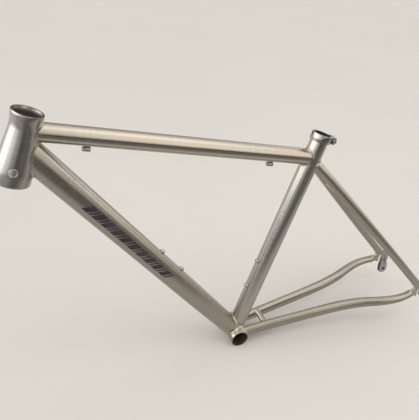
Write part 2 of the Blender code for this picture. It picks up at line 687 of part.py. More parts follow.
top_down = local_x(top_frame)
for label, x in STOP_X:
    name = "cable_stop_" + label
    along = (x * MM - seat_node.x) / top_dir.x
    matrix = frame_matrix(seat_node + top_dir * along + top_down * (STOP_DROP * MM),
                          top_dir, top_down)
    stop = solid_turned(name, parts, matrix, STOP_PROFILE, 20)
    boolean(stop, block("add_neck_" + label, tools, matrix, *STOP_NECK), 'UNION')
    subtract(stop,
             rod("cut_ferrule_" + label, tools, matrix, FERRULE_R, -12, FERRULE_FLOOR, 16),
             rod("cut_cable_" + label, tools, matrix, CABLE_R, -12, 12, 10),
             rod("cut_top_for_stop_" + label, tools, top_frame, TOP_OD / 2 + GAP,
                 40, top_length - 40))

# ------------------------------------------------------------------ seat collar
COLLAR_LOW = 468.5               # along the seat tube
COLLAR_HIGH = 483.5
COLLAR_R = 20.2
COLLAR_BORE_R = 17.8
COLLAR_LIP = 0.9                 # thickness of the lip over the tube's top
COLLAR_LIP_R = 16.6              # hole in the lip
EAR_BACK = -31.0                 # local X, forward positive
EAR_FRONT = -10.0
EAR_HALF = 9.5
EAR_ROUND = 2.6
COLLAR_SLOT = 2.4
COLLAR_SLOT_FRONT = -12.0
COLLAR_RELIEF_BACK = 20.4        # hole along the slot, behind the seat tube's axis
COLLAR_RELIEF_R = 2.3
BOLT_BACK = 25.6                 # pinch bolt behind the seat tube's axis
BOLT_HOLE_R = 2.9
COUNTERBORE_R = 5.3
COUNTERBORE_FLOOR = 7.0          # left of the middle plane
WASHER_R = 5.0
WASHER_BEVEL = 0.1
WASHER_HOLE_R = 2.85
WASHER_T = 1.0
NUT_RIGHT = 6.2                  # nut's axis right of the middle plane
NUT_R = 3.6
NUT_HALF = 6.0
NUT_HOLE_R = 2.75
NUT_SEAT_R = 3.95
NUT_SEAT_HALF = 6.5
COLLAR_SCREW = dict(head_radius=4.4, head_height=4.0, shank_radius=2.45, shank_length=18.4,
                    socket_radius=2.0, socket_depth=2.2, facets=24)

bolt_centre = SEAT_DIR * ((COLLAR_LOW + COLLAR_HIGH) / 2 * MM) + SEAT_REAR * (BOLT_BACK * MM)
# the bolt runs across the ears: local Z to the left, where its head is
bolt_frame = frame_matrix(bolt_centre, LEFT, SEAT_DIR)
# the barrel nut lies parallel to the seat tube in the right ear, local X to the left
nut_frame = frame_matrix(bolt_centre - LEFT * (NUT_RIGHT * MM), SEAT_DIR, LEFT)
relief_frame = frame_matrix(SEAT_REAR * (COLLAR_RELIEF_BACK * MM), SEAT_DIR, -SEAT_REAR)

collar = rod("seat_collar", parts, seat_frame, COLLAR_R, COLLAR_LOW, COLLAR_HIGH)
ears = block("add_collar_ears", tools, seat_frame,
             (EAR_BACK, -EAR_HALF, COLLAR_LOW), (EAR_FRONT, EAR_HALF, COLLAR_HIGH))
ear_bevel = ears.modifiers.new("round", 'BEVEL')
ear_bevel.width = EAR_ROUND * MM
ear_bevel.segments = 3
ear_bevel.limit_method = 'ANGLE'
boolean(collar, ears, 'UNION')
subtract(
    collar,
    rod("cut_collar_bore", tools, seat_frame, COLLAR_BORE_R,
        COLLAR_LOW - 5, COLLAR_HIGH - COLLAR_LIP),
    rod("cut_collar_lip", tools, seat_frame, COLLAR_LIP_R, COLLAR_LOW - 5, COLLAR_HIGH + 5),
    block("cut_collar_slot", tools, seat_frame, (-50, -COLLAR_SLOT / 2, COLLAR_LOW - 5),
          (COLLAR_SLOT_FRONT, COLLAR_SLOT / 2, COLLAR_HIGH + 5)),
    rod("cut_collar_relief", tools, relief_frame, COLLAR_RELIEF_R,
        COLLAR_LOW - 5, COLLAR_HIGH + 5, 20),
    rod("cut_collar_bolt", tools, bolt_frame, BOLT_HOLE_R, -20, 20, 24),
    rod("cut_collar_counterbore", tools, bolt_frame, COUNTERBORE_R, COUNTERBORE_FLOOR, 20, 24),
    # the nut's seat is open at the right side
    rod("cut_collar_nut", tools, nut_frame, NUT_SEAT_R, -NUT_SEAT_HALF, NUT_SEAT_HALF, 24),
    block("cut_collar_nut_way", tools, nut_frame, (-20.0, -NUT_SEAT_R, -NUT_SEAT_HALF),
          (0.0, NUT_SEAT_R, NUT_SEAT_HALF)))

nut = rod("seat_collar_nut", parts, nut_frame, NUT_R, -NUT_HALF, NUT_HALF, 24)
subtract(nut, rod("cut_nut_thread", tools, bolt_frame, NUT_HOLE_R, -20, 20, 20))

washer_low = COUNTERBORE_FLOOR + GAP
washer_high = washer_low + WASHER_T
turned("seat_collar_washer", parts, bolt_frame,
       [(WASHER_R - WASHER_BEVEL, washer_high), (WASHER_R, washer_high - WASHER_BEVEL),
        (WASHER_R, washer_low), (WASHER_HOLE_R, washer_low), (WASHER_HOLE_R, washer_high)], 24)
screw("seat_collar_bolt", bolt_frame, washer_high + GAP, **COLLAR_SCREW)

# ------------------------------------------------------------------ head badge
# blank oval plaque on the head tube's left flank, curved to it
BADGE_HEIGHT = -59.2             # centre along the head tube, from the node
BADGE_TURN = 5.0                 # degrees forward of straight left
BADGE_HALF = (6.4, 7.2)          # half sizes along the head tube and round it
BADGE_T = 1.0

turn_angle = math.radians(BADGE_TURN)
badge_out = (head_frame.to_3x3()
             @ Vector((math.sin(turn_angle), math.cos(turn_angle), 0))).normalized()
badge_frame = frame_matrix(head_node + HEAD_DIR * (BADGE_HEIGHT * MM), badge_out, HEAD_DIR)
# a round rod of radius 1 stretched to the oval, then cut to a skin over the head tube
badge = rod("head_badge", parts, badge_frame, 1.0, 22.0, 36.0, 28)
badge.data.transform(Matrix.Diagonal((*BADGE_HALF, 1.0, 1.0)))
badge_outer = solid_turned("cut_badge_outer", tools, head_frame,
                           head_envelope(GAP + BADGE_T, -80, -30), RING)
boolean(badge, badge_outer, 'INTERSECT')
subtract(badge, solid_turned("cut_badge_inner", tools, head_frame,
                             head_envelope(GAP, -84, -20), RING))


# ------------------------------------------------------------------ finishes
def metal(name, colour, roughness):
    finish = bpy.data.materials.new(name)
    finish.use_nodes = True
    shader = finish.node_tree.nodes["Principled BSDF"]
    shader.inputs["Base Color"].default_value = (*colour, 1.0)
    shader.inputs["Roughness"].default_value = roughness
    shader.inputs["Metallic"].default_value = 1.0
    return finish


warm = metal("brushed_alloy_warm", colour=(0.47, 0.42, 0.35), roughness=0.34)
grey = metal("brushed_alloy_grey", colour=(0.42, 0.40, 0.37), roughness=0.30)
polished = metal("polished_alloy", colour=(0.78, 0.77, 0.75), roughness=0.12)
machined = metal("machined_alloy", colour=(0.60, 0.57, 0.52), roughness=0.28)
steel = metal("stainless_screw", colour=(0.55, 0.54, 0.52), roughness=0.25)
satin = metal("satin_grey_anodised", colour=(0.36, 0.35, 0.38), roughness=0.35)
dark = metal("black_oxide_steel", colour=(0.06, 0.06, 0.065), roughness=0.4)

FINISH_BY_NAME = {"head_tube": grey, "seat_collar": polished, "derailleur_hanger": satin,
                  "hanger_bolt": dark, "head_badge": polished}
FINISH_BY_WORD = ((("bolt", "washer", "nut"), steel),
                  (("dropout", "boss", "stop", "shell"), machined))


def finish_for(name):
    """Finish by full name, then by a word in the name; plain tubes are warm alloy."""
    if name in FINISH_BY_NAME:
        return FINISH_BY_NAME[name]
    for words, finish in FINISH_BY_WORD:
        if any(word in name for word in words):
            return finish
    return warm


for ob in parts.objects:
    ob.data.materials.append(finish_for(ob.name))

# ------------------------------------------------------------------ placing
stand = bpy.data.objects.new("bicycle_frame_stand", None)
bpy.context.scene.collection.objects.link(stand)
stand.location = vec_mm(SHELL_PLACE[0], 0, SHELL_PLACE[1])
for ob in list(parts.objects) + list(tools.objects):
    ob.parent = stand
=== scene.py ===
import json
import math

import bmesh
import bpy
import numpy as np
from mathutils import Matrix, Vector

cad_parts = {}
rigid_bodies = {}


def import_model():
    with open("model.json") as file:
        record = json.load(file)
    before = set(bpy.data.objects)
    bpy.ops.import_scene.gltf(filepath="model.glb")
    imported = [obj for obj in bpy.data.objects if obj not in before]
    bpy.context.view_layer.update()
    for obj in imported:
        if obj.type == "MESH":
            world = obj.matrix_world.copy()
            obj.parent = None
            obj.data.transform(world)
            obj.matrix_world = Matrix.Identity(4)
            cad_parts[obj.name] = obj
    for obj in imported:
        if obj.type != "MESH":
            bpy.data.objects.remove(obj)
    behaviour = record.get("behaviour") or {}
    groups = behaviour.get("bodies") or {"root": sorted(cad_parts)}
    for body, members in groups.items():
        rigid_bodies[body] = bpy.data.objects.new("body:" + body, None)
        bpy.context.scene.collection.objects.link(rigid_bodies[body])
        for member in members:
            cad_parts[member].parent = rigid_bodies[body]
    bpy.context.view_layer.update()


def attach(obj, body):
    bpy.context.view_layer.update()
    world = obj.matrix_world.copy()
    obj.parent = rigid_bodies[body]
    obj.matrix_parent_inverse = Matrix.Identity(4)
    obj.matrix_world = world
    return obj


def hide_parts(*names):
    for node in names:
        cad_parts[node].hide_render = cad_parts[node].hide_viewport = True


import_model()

MM = 0.001
PLACE = Matrix.Translation((0.01195, 0.0, 0.020))
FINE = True
TUBE_SEG = 112 if FINE else 64
TURNED_SEG = 144 if FINE else 80
STAY_SEG = 56 if FINE else 32
SMALL_SEG = 48 if FINE else 28
BEAD_STEP = 0.30 if FINE else 0.6

# ------------------------------------------------------------------ sizes
GAP = 0.3               # clearance left round a piece where another is cut for it
SIDES = (("left", 1), ("right", -1))

# Seat tube: degrees from level, diameters, then distances along it
SEAT_ANGLE = 73.0
SEAT_OD = 34.9
SEAT_R = SEAT_OD / 2
SEAT_ID_TOP = 31.6
SEAT_ID_LOW = 32.7
SEAT_REAM = 130.0       # depth of the narrower bore at the top
SEAT_REAM_TAPER = 6.0
SEAT_LENGTH = 482.3
PINCH_LENGTH = 34.0
PINCH_HALF = 1.1
PINCH_HOLE_R = 2.2

# Head tube: heights are along its axis from HEAD_NODE (x, z)
HEAD_ANGLE = 70.8
HEAD_NODE = (393.2, 517.1)
HEAD_PROFILE = (        # (height, outer radius), from the top down
    (31.2, 24.5), (30.4, 25.1), (25.5, 24.9), (20.0, 23.9), (14.0, 23.1), (8.0, 22.9),
    (1.0, 23.4), (-9.0, 24.3), (-22.0, 25.8), (-40.0, 27.8), (-57.0, 29.7),
    (-68.0, 30.6), (-84.8, 30.6), (-85.6, 30.0))
HEAD_UP = HEAD_PROFILE[0][0]
HEAD_DOWN = -HEAD_PROFILE[-1][0]
HEAD_STEP = 2.2         # longest step between turned rings
HEAD_R_TOP = 44.0 / 2   # bores of the two bearing seats
HEAD_R_LOW = 56.0 / 2

# Top and down tubes
TOP_R = 31.8 / 2
TOP_WALL = 0.9
TOP_AT_SEAT = 434.1     # along the seat tube
DOWN_ROUND = 44.5       # diameter of the round tube that the ovals are pressed from
DOWN_WALL = 1.0
DOWN_AT_HEAD = -23.96   # along the head tube
DOWN_TALL = (           # (share of the length, upright diameter)
    (0.0, 39.6), (0.25, 43.6), (0.55, 45.4), (0.8, 47.2), (1.0, 48.8))

# Bottom bracket shell
SHELL_R = 40.0 / 2
SHELL_BORE_R = 34.2 / 2
SHELL_HALF = 68.0 / 2
SHELL_PITCH = 1.06
SHELL_TURNS = 20        # thread turns at each end

# Rear axle and dropouts
AXLE = (-443.0, 64.0)   # (x, z)
HUB_HALF = 135.0 / 2
PLATE = 6.0
AXLE_SLOT_R = 5.1
TAB_HALF = 6.2          # half width of the tab up the seatstay

# Stays; a share runs from 0 at the front to 1 at the dropout
STAY_WALL = 0.9
END_ROUND = 7.0         # length of a rounded stay end
ROUND_STEPS = 8
CHAINSTAY_Y = (         # (distance behind the shell's centre, distance from the middle plane)
    (9.0, 19.4), (70.0, 22.8), (130.0, 27.7), (190.0, 33.0), (250.0, 39.4),
    (300.0, 50.0), (345.0, 65.2), (385.0, 74.0), (424.0, 71.3))
CHAINSTAY_EASE = (0.85, 391.0, 30.0)    # depth, place and spread of the eased bend
CHAINSTAY_Z = (         # (share, height)
    (0.0, 3.4), (0.34, 23.0), (0.65, 41.2), (0.85, 51.7), (1.0, 59.4))
CHAINSTAY_TALL = (      # (share, upright half width)
    (0.0, 13.1), (0.34, 13.5), (0.65, 12.0), (0.85, 10.2), (1.0, 8.4))
CHAINSTAY_WIDE = (      # (share, level half width)
    (0.0, 9.1), (0.35, 9.1), (0.6, 10.6), (0.75, 10.4), (1.0, 8.0))
CHAINSTAY_BORE = (-4.0, 400.0)          # ends of the bore, behind the shell's centre
SEATSTAY_TOP = 422.6                    # along the seat tube
SEATSTAY_TOP_OFF = (-12.0, -3.0)        # (x, z) from that point
SEATSTAY_FOOT = (-434.9, 80.9)          # (x, z)
SEATSTAY_Y = (15.0, 70.5)               # at the top and at the foot
SEATSTAY_BOW = 8.0
SEATSTAY_TUCK = 3.6                     # inward tuck at the top, and the share it fades over
SEATSTAY_TUCK_FADE = 0.045
SEATSTAY_START = -0.02
SEATSTAY_DENSE = 0.14                   # path points are closer together above this share
SEATSTAY_BORE = (0.0, 0.945)
SEATSTAY_R = ((0.0, 9.2), (0.6, 9.0), (1.0, 8.4))   # (share, radius)
BRIDGE_R = 6.6
BRIDGE_WALL = 1.0
CS_BRIDGE = (-66.0, 18.0)               # (x, z)
CS_BRIDGE_HALF = 21.0
SS_BRIDGE_SHARE = 0.20


# ------------------------------------------------------------------ placing
def point(x, y, z):
    return Vector((x * MM, y * MM, z * MM))


def interp(table, place):
    """Smooth curve through the (place, value) rows, held level beyond the ends."""
    if place <= table[0][0]:
        return table[0][1]
    if place >= table[-1][0]:
        return table[-1][1]
    last = len(table) - 1

    def slope(i):
        before, after = table[max(i - 1, 0)], table[min(i + 1, last)]
        return (after[1] - before[1]) / (after[0] - before[0])

    i = next(i for i in range(last) if place <= table[i + 1][0])
    (start, value0), (end, value1) = table[i], table[i + 1]
    span = end - start
    u = (place - start) / span
    slope0, slope1 = slope(i) * span, slope(i + 1) * span
    return ((2 * u**3 - 3 * u**2 + 1) * value0 + (u**3 - 2 * u**2 + u) * slope0
            + (-2 * u**3 + 3 * u**2) * value1 + (u**3 - u**2) * slope1)


def axes_at(origin, z_axis, x_hint):
    """Local axes with Z along z_axis and X as near x_hint as it can be."""
    z = Vector(z_axis).normalized()
    y = z.cross(Vector(x_hint)).normalized()
    x = y.cross(z)
    matrix = Matrix((x, y, z)).transposed().to_4x4()
    matrix.translation = origin
    return matrix


def tube_axis(degrees):
    """Unit vector up a tube that leans back from level by this angle."""
    return Vector((-math.cos(math.radians(degrees)), 0, math.sin(math.radians(degrees))))


ORIGIN = Vector((0, 0, 0))
FORWARD = Vector((1, 0, 0))
LEFT = Vector((0, 1, 0))
SEAT_AXIS = tube_axis(SEAT_ANGLE)
SEAT_REAR = Vector((-SEAT_AXIS.z, 0, SEAT_AXIS.x))      # square to the seat tube, rearwards
HEAD_AXIS = tube_axis(HEAD_ANGLE)
HEAD_POINT = point(HEAD_NODE[0], 0, HEAD_NODE[1])
TOP_START = SEAT_AXIS * (TOP_AT_SEAT * MM)
DOWN_END = HEAD_POINT + HEAD_AXIS * (DOWN_AT_HEAD * MM)
TOP_AXIS = (HEAD_POINT - TOP_START).normalized()
TOP_LENGTH = (HEAD_POINT - TOP_START).length / MM
DOWN_AXIS = DOWN_END.normalized()
DOWN_LENGTH = DOWN_END.length / MM

# Local X is forwards on the seat and head tubes, down on the top tube and up on the down tube
seat_axes = axes_at(ORIGIN, SEAT_AXIS, -SEAT_REAR)
head_axes = axes_at(HEAD_POINT, HEAD_AXIS, FORWARD)
top_axes = axes_at(TOP_START, TOP_AXIS, Vector((0, 0, -1)))
down_axes = axes_at(ORIGIN, DOWN_AXIS, Vector((-1, 0, 1)))
shell_axes = axes_at(ORIGIN, LEFT, FORWARD)

shapes = bpy.data.collections.new("fine_shapes")
bpy.context.scene.collection.children.link(shapes)
cutters = bpy.data.collections.new("fine_cutters")
bpy.context.scene.collection.children.link(cutters)


# ------------------------------------------------------------------ shape helpers
def mesh_object(name, verts, faces, matrix=None, group=shapes):
    mesh = bpy.data.meshes.new(name)
    mesh.from_pydata([tuple(vert) for vert in verts], [], faces)
    edit = bmesh.new()
    edit.from_mesh(mesh)
    bmesh.ops.recalc_face_normals(edit, faces=edit.faces)
    edit.to_mesh(mesh)
    edit.free()
    piece = bpy.data.objects.new(name, mesh)
    group.objects.link(piece)
    if matrix is not None:
        piece.matrix_world = matrix
    return piece


def loft(name, rings, matrix=None, group=shapes, closed=False):
    """Skin over rings of points, with flat ends or with the last ring joined to the first."""
    around, rows = len(rings[0]), len(rings)
    faces = []
    for row in range(rows if closed else rows - 1):
        a, b = row * around, ((row + 1) % rows) * around
        for i in range(around):
            j = (i + 1) % around
            faces.append((a + i, a + j, b + j, b + i))
    if not closed:
        faces.append(tuple(range(around - 1, -1, -1)))
        faces.append(tuple(range((rows - 1) * around, rows * around)))
    return mesh_object(name, [vert for ring in rings for vert in ring], faces, matrix, group)


def oval(x_radius, y_radius, z, seg):
    return [Vector((x_radius * MM * math.cos(math.tau * i / seg),
                    y_radius * MM * math.sin(math.tau * i / seg), z * MM)) for i in range(seg)]


def lathe(name, matrix, profile, seg, group=shapes, closed=False):
    """Profile of (radius, height) turned about local Z; closed turns it into a ring."""
    return loft(name, [oval(r, r, height, seg) for r, height in profile], matrix, group, closed)


def rod(name, matrix, radius, z0, z1, seg, group=cutters):
    return lathe(name, matrix, [(radius, z0), (radius, z1)], seg, group)


def block(name, matrix, low, high):
    """Box-shaped tool between two local corners."""
    x, y, z = [(low[i] * MM, high[i] * MM) for i in range(3)]
    verts = [(a, b, c) for c in z for b in y for a in x]
    faces = [(0, 2, 3, 1), (4, 5, 7, 6), (0, 1, 5, 4), (2, 6, 7, 3), (0, 4, 6, 2), (1, 3, 7, 5)]
    return mesh_object(name, verts, faces, matrix, cutters)


def plate(name, outline, y0, y1, group=cutters):
    """Upright plate between two Y planes; the outline is (x, z) from the axle."""
    curve = bpy.data.curves.new(name + "_outline", 'CURVE')
    curve.dimensions = '2D'
    curve.fill_mode = 'BOTH'
    curve.extrude = abs(y1 - y0) / 2 * MM
    spline = curve.splines.new('POLY')
    spline.points.add(len(outline) - 1)
    for corner, (x, z) in zip(spline.points, outline):
        corner.co = ((x + AXLE[0]) * MM, (z + AXLE[1]) * MM, 0.0, 1.0)
    spline.use_cyclic_u = True
    drawn = bpy.data.objects.new(name + "_outline", curve)
    shapes.objects.link(drawn)
    drawn.matrix_world = (Matrix.Translation((0, (y0 + y1) / 2 * MM, 0))
                          @ Matrix.Rotation(math.pi / 2, 4, 'X'))
    bpy.context.view_layer.update()
    depsgraph = bpy.context.evaluated_depsgraph_get()
    mesh = bpy.data.meshes.new_from_object(drawn.evaluated_get(depsgraph))
    edit = bmesh.new()
    edit.from_mesh(mesh)
    bmesh.ops.remove_doubles(edit, verts=edit.verts, dist=0.00001)
    bmesh.ops.recalc_face_normals(edit, faces=edit.faces)
    bmesh.ops.dissolve_limit(edit, angle_limit=math.radians(1.0), verts=edit.verts,
                             edges=edit.edges)
    edit.to_mesh(mesh)
    edit.free()
    mesh.name = name
    piece = bpy.data.objects.new(name, mesh)
    group.objects.link(piece)
    piece.matrix_world = drawn.matrix_world.copy()
    bpy.data.objects.remove(drawn, do_unlink=True)
    bpy.data.curves.remove(curve)
    return piece


def in_axes(piece, matrix):
    """Re-express a mesh made in world coordinates in local axes."""
    piece.data.transform(matrix.inverted())
    piece.matrix_world = matrix
    return piece


def boolean(piece, tool, operation, solver):
    modifier = piece.modifiers.new(operation.lower(), 'BOOLEAN')
    modifier.operation = operation
    modifier.solver = solver
    modifier.object = tool


def cut(piece, *tools, solver='MANIFOLD'):
    for tool in tools:
        boolean(piece, tool, 'DIFFERENCE', solver)


def join(piece, tool, solver='EXACT'):
    boolean(piece, tool, 'UNION', solver)


def bevel(piece, width, angle, segments=2):
    modifier = piece.modifiers.new("edge", 'BEVEL')
    modifier.width = width * MM
    modifier.segments = segments
    modifier.limit_method = 'ANGLE'
    modifier.angle_limit = math.radians(angle)


# ------------------------------------------------------------------ finishing
def stamp(piece):
    """Store the piece's local coordinates ("grain") and which faces look inwards at its
    axis ("bore"), then settle the mesh in the bicycle's coordinates."""
    mesh = piece.data
    coords = np.zeros(len(mesh.vertices) * 3, np.float32)
    mesh.vertices.foreach_get("co", coords)
    mesh.attributes.new("grain", 'FLOAT_VECTOR', 'POINT').data.foreach_set("vector", coords)
    centre = np.zeros(len(mesh.polygons) * 3, np.float32)
    normal = np.zeros(len(mesh.polygons) * 3, np.float32)
    mesh.polygons.foreach_get("center", centre)
    mesh.polygons.foreach_get("normal", normal)
    centre, normal = centre.reshape(-1, 3)[:, :2], normal.reshape(-1, 3)[:, :2]
    radial = centre / np.maximum(np.linalg.norm(centre, axis=1, keepdims=True), 1e-9)
    inward = ((radial * normal).sum(1) < -0.3).astype(np.float32)
    mesh.attributes.new("bore", 'FLOAT', 'FACE').data.foreach_set("value", inward)
    mesh.transform(PLACE @ piece.matrix_world)
    piece.matrix_world = Matrix.Identity(4)


def settle(piece, material, angle, body="frame", replaced=None):
    mesh = piece.data
    mesh.materials.append(material)
    mesh.shade_smooth()
    mesh.set_sharp_from_angle(angle=math.radians(angle))
    stamp(piece)
    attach(piece, body)
    if replaced:
        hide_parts(replaced)


finished = []


def finish(piece, material, slot, angle=32, body="frame"):
    """Queue a piece; its modifiers are applied once every cutter exists."""
    finished.append((piece, material, slot, angle, body))


def apply_all():
    """Apply the modifiers. A piece named "x_fine" takes the place of CAD piece "x"."""
    bpy.context.view_layer.update()
    depsgraph = bpy.context.evaluated_depsgraph_get()
    meshes = [bpy.data.meshes.new_from_object(entry[0].evaluated_get(depsgraph))
              for entry in finished]
    for (piece, material, slot, angle, body), mesh in zip(finished, meshes):
        piece.modifiers.clear()
        mesh.name = piece.name
        piece.data = mesh
        mesh.materials.clear()
        for polygon in mesh.polygons:
            polygon.material_index = 0
        settle(piece, material, angle, body, piece.name.removesuffix("_fine"))
    for tool in list(cutters.objects):
        bpy.data.objects.remove(tool, do_unlink=True)


# ------------------------------------------------------------------ materials
class Net:
    """Wires the shader nodes of a material or a world."""

    def __init__(self, owner):
        owner.use_nodes = True
        self.tree = owner.node_tree
        self.bsdf = self.tree.nodes.get("Principled BSDF")

    def node(self, kind, **props):
        node = self.tree.nodes.new(kind)
        for key, value in props.items():
            setattr(node, key, value)
        return node

    def link(self, output, socket):
        self.tree.links.new(output, socket)

    def value(self, socket, value):
        if isinstance(value, bpy.types.NodeSocket):
            self.link(value, socket)
        else:
            socket.default_value = value

    def math(self, operation, a, b=0.0):
        node = self.node("ShaderNodeMath", operation=operation)
        self.value(node.inputs[0], a)
        self.value(node.inputs[1], b)
        return node.outputs[0]

    def own(self):
        """Position in the piece's local axes."""
        return self.node("ShaderNodeAttribute", attribute_name="grain").outputs["Vector"]

    def object_coords(self):
        return self.node("ShaderNodeTexCoord").outputs["Object"]

    def separate(self, vector):
        node = self.node("ShaderNodeSeparateXYZ")
        self.link(vector, node.inputs[0])
        return node.outputs

    def noise(self, scale, detail, rough, location=(0, 0, 0), rotation=(0, 0, 0), source=None):
        """Noise over the local coordinates, or over another source."""
        mapping = self.node("ShaderNodeMapping")
        mapping.inputs["Scale"].default_value = scale
        mapping.inputs["Rotation"].default_value = rotation
        mapping.inputs["Location"].default_value = location
        self.link(source or self.own(), mapping.inputs["Vector"])
        node = self.node("ShaderNodeTexNoise")
        node.inputs["Scale"].default_value = 1.0
        node.inputs["Detail"].default_value = detail
        node.inputs["Roughness"].default_value = rough
        self.link(mapping.outputs["Vector"], node.inputs["Vector"])
        return node.outputs["Fac"]

    def ramp(self, value, start, end, low=0.0, high=1.0, kind='SMOOTHSTEP'):
        """Low at start, rising to high at end."""
        node = self.node("ShaderNodeMapRange", interpolation_type=kind)
        self.value(node.inputs["Value"], value)
        node.inputs["From Min"].default_value = start
        node.inputs["From Max"].default_value = end
        node.inputs["To Min"].default_value = low
        node.inputs["To Max"].default_value = high
        return node.outputs["Result"]

    def mix(self, factor, *colours):
        node = self.node("ShaderNodeMix", data_type='RGBA', blend_type='MIX')
        self.value(node.inputs["Factor"], factor)
        sockets = [s for s in node.inputs if s.type == 'RGBA']
        for socket, colour in zip(sockets, colours):
            is_socket = isinstance(colour, bpy.types.NodeSocket)
            self.value(socket, colour if is_socket else (*colour, 1.0))
        return [s for s in node.outputs if s.type == 'RGBA'][0]

    def bump(self, height, strength):
        node = self.node("ShaderNodeBump")
        node.inputs["Strength"].default_value = strength
        node.inputs["Distance"].default_value = 0.02 * MM
        self.link(height, node.inputs["Height"])
        self.link(node.outputs[0], self.bsdf.inputs["Normal"])


class MetalNet(Net):
    """Keeps a running colour and roughness that each effect adds to."""

    def layer(self, mask, tone, share=None, rougher=None):
        """Blend in a tone where the mask is set, and roughen there."""
        factor = self.math('MULTIPLY', mask, share) if share else mask
        self.colour = self.mix(factor, self.colour, tone)
        if rougher:
            self.rough = self.math('ADD', self.rough, self.math('MULTIPLY', mask, rougher))

    def scratches(self, base, strength):
        """Light handling scratches along the piece."""
        lines = self.noise((420, 420, 26), detail=2.0, rough=0.5, rotation=(0.25, 0.12, 0.0))
        mask = self.math('MULTIPLY', self.ramp(lines, 0.70, 0.76), strength)
        self.layer(mask, shade(base, 1.35), share=0.35, rougher=0.12)

    def edge_wear_and_hollow_shade(self, base, strength):
        """Edges rubbed brighter and smoother, and painted shade darkening the hollows."""
        pointiness = self.node("ShaderNodeNewGeometry").outputs["Pointiness"]
        edge = self.math('MULTIPLY', self.ramp(pointiness, 0.515, 0.58), strength)
        self.layer(edge, shade(base, 1.45))
        self.rough = self.math('SUBTRACT', self.rough, self.math('MULTIPLY', edge, 0.12))
        # Painted shade: hollows and creases darkened where shade falls
        self.layer(self.ramp(pointiness, 0.485, 0.44), shade(base, 0.45), share=0.5)

    def bore(self, tone, fade):
        """Painted shade on faces that look inwards, from a clean lip to full depth where fade is
        given.
        """
        inward = self.node("ShaderNodeAttribute", attribute_name="bore").outputs["Fac"]
        depth = 1.0
        if fade:
            depth = self.ramp(self.separate(self.own())["Z"], fade[0] * MM, fade[1] * MM)
        # Painted shade inside the bore, deepening with depth; also rougher there
        self.layer(self.math('MULTIPLY', inward, depth), tone, rougher=0.35)

    def lip(self, radius, tone):
        """Painted shade on the end face out to a radius, which is also made rougher."""
        own = self.separate(self.own())
        squared = self.math('ADD', self.math('MULTIPLY', own["X"], own["X"]),
                            self.math('MULTIPLY', own["Y"], own["Y"]))
        ring = self.ramp(self.math('SQRT', squared), (radius + 0.3) * MM, radius * MM)
        self.layer(ring, tone, rougher=0.2)

    def cut_end(self, height, tone):
        """Painted shade on the cut end of a tube, above a local height, which is also made
        rougher.
        """
        z = self.separate(self.own())["Z"]
        self.layer(self.ramp(z, height * MM, (height + 0.5) * MM), tone, rougher=0.12)

    def heat(self, base, bands, patch):
        """Warmed bands with a wandering edge; each is (local height, reach)."""
        z = self.separate(self.own())["Z"]
        wobble = self.math('MULTIPLY', self.math('SUBTRACT', patch, 0.5), 0.006)
        for height, reach in bands:
            shifted = self.math('SUBTRACT', self.math('ADD', z, wobble), height * MM)
            near = self.ramp(self.math('ABSOLUTE', shifted), reach * MM, reach * 0.35 * MM)
            self.layer(near, shade(base, 1.30, (0.78, 0.66, 0.46)), share=0.22, rougher=0.05)


def shade(colour, factor, tint=(1, 1, 1)):
    return tuple(min(c * t * factor, 1.0) for c, t in zip(colour, tint))


def metal(name, base, rough, grain_scale=(30, 30, 1500), grain=0.10, blotch=0.10, bump=0.25,
          tint=(1.0, 0.95, 0.86), edge_wear_and_hollow_shade=0.35, scratches=0.5, bore=None, bore_fade=None,
          lip=None, end=None, heat=None):
    """Brushed metal with fine grain and cloudy roughness.

    grain and blotch are how far the roughness varies; tint colours the warm clouds."""
    material = bpy.data.materials.new(name)
    net = MetalNet(material)
    coarse = net.noise(grain_scale, detail=5.0, rough=0.6)
    fine = net.noise(tuple(s * 2.6 for s in grain_scale), detail=2.0, rough=0.5,
                     location=(3.1, 1.7, 0.4))
    cloud = net.noise((9, 9, 9), detail=4.0, rough=0.55, location=(1.3, 0.2, 2.2))
    patch = net.noise((55, 55, 38), detail=3.0, rough=0.5, location=(5.3, 4.2, 0.2))
    brushed = net.math('ADD', net.math('MULTIPLY', coarse, 0.65),
                       net.math('MULTIPLY', fine, 0.35))
    net.colour = net.mix(net.ramp(brushed, 0.32, 0.68), shade(base, 0.86), shade(base, 1.12))
    net.layer(net.ramp(cloud, 0.38, 0.66), shade(base, 1, tint), share=0.55)
    grained = net.math('ADD', rough - grain / 2 - blotch / 2,
                       net.math('MULTIPLY', brushed, grain))
    net.rough = net.math('ADD', grained, net.math('MULTIPLY', patch, blotch))
    if scratches:
        net.scratches(base, scratches)
    net.edge_wear_and_hollow_shade(base, edge_wear_and_hollow_shade)
    # The bore, lip and end tones paint shade into bores and end faces
    if bore:
        net.bore(bore, bore_fade)
    if lip:
        net.lip(*lip)
    if end:
        net.cut_end(*end)
    if heat:
        net.heat(base, heat, patch)
    net.link(net.colour, net.bsdf.inputs["Base Color"])
    net.link(net.math('MAXIMUM', net.rough, 0.05), net.bsdf.inputs["Roughness"])
    net.bsdf.inputs["Metallic"].default_value = 1.0
    net.bump(brushed, bump)
    return material


def ink(name, base):
    """Worn dark ink film with pinholes and rubbed patches."""
    material = bpy.data.materials.new(name)
    net = Net(material)
    cloud = net.noise((60, 60, 30), detail=5.0, rough=0.6)
    pinholes = net.noise((900, 900, 700), detail=2.0, rough=0.5)
    colour = net.mix(net.ramp(cloud, 0.35, 0.7), shade(base, 0.75), shade(base, 1.3))
    holes = net.math('MULTIPLY', net.ramp(pinholes, 0.72, 0.78), 0.5)
    colour = net.mix(holes, colour, (0.30, 0.29, 0.28))
    net.link(colour, net.bsdf.inputs["Base Color"])
    net.link(net.ramp(cloud, 0.3, 0.7, low=0.40, high=0.56), net.bsdf.inputs["Roughness"])
    net.bsdf.inputs["Specular IOR Level"].default_value = 0.45
    net.bump(pinholes, 0.15)
    return material


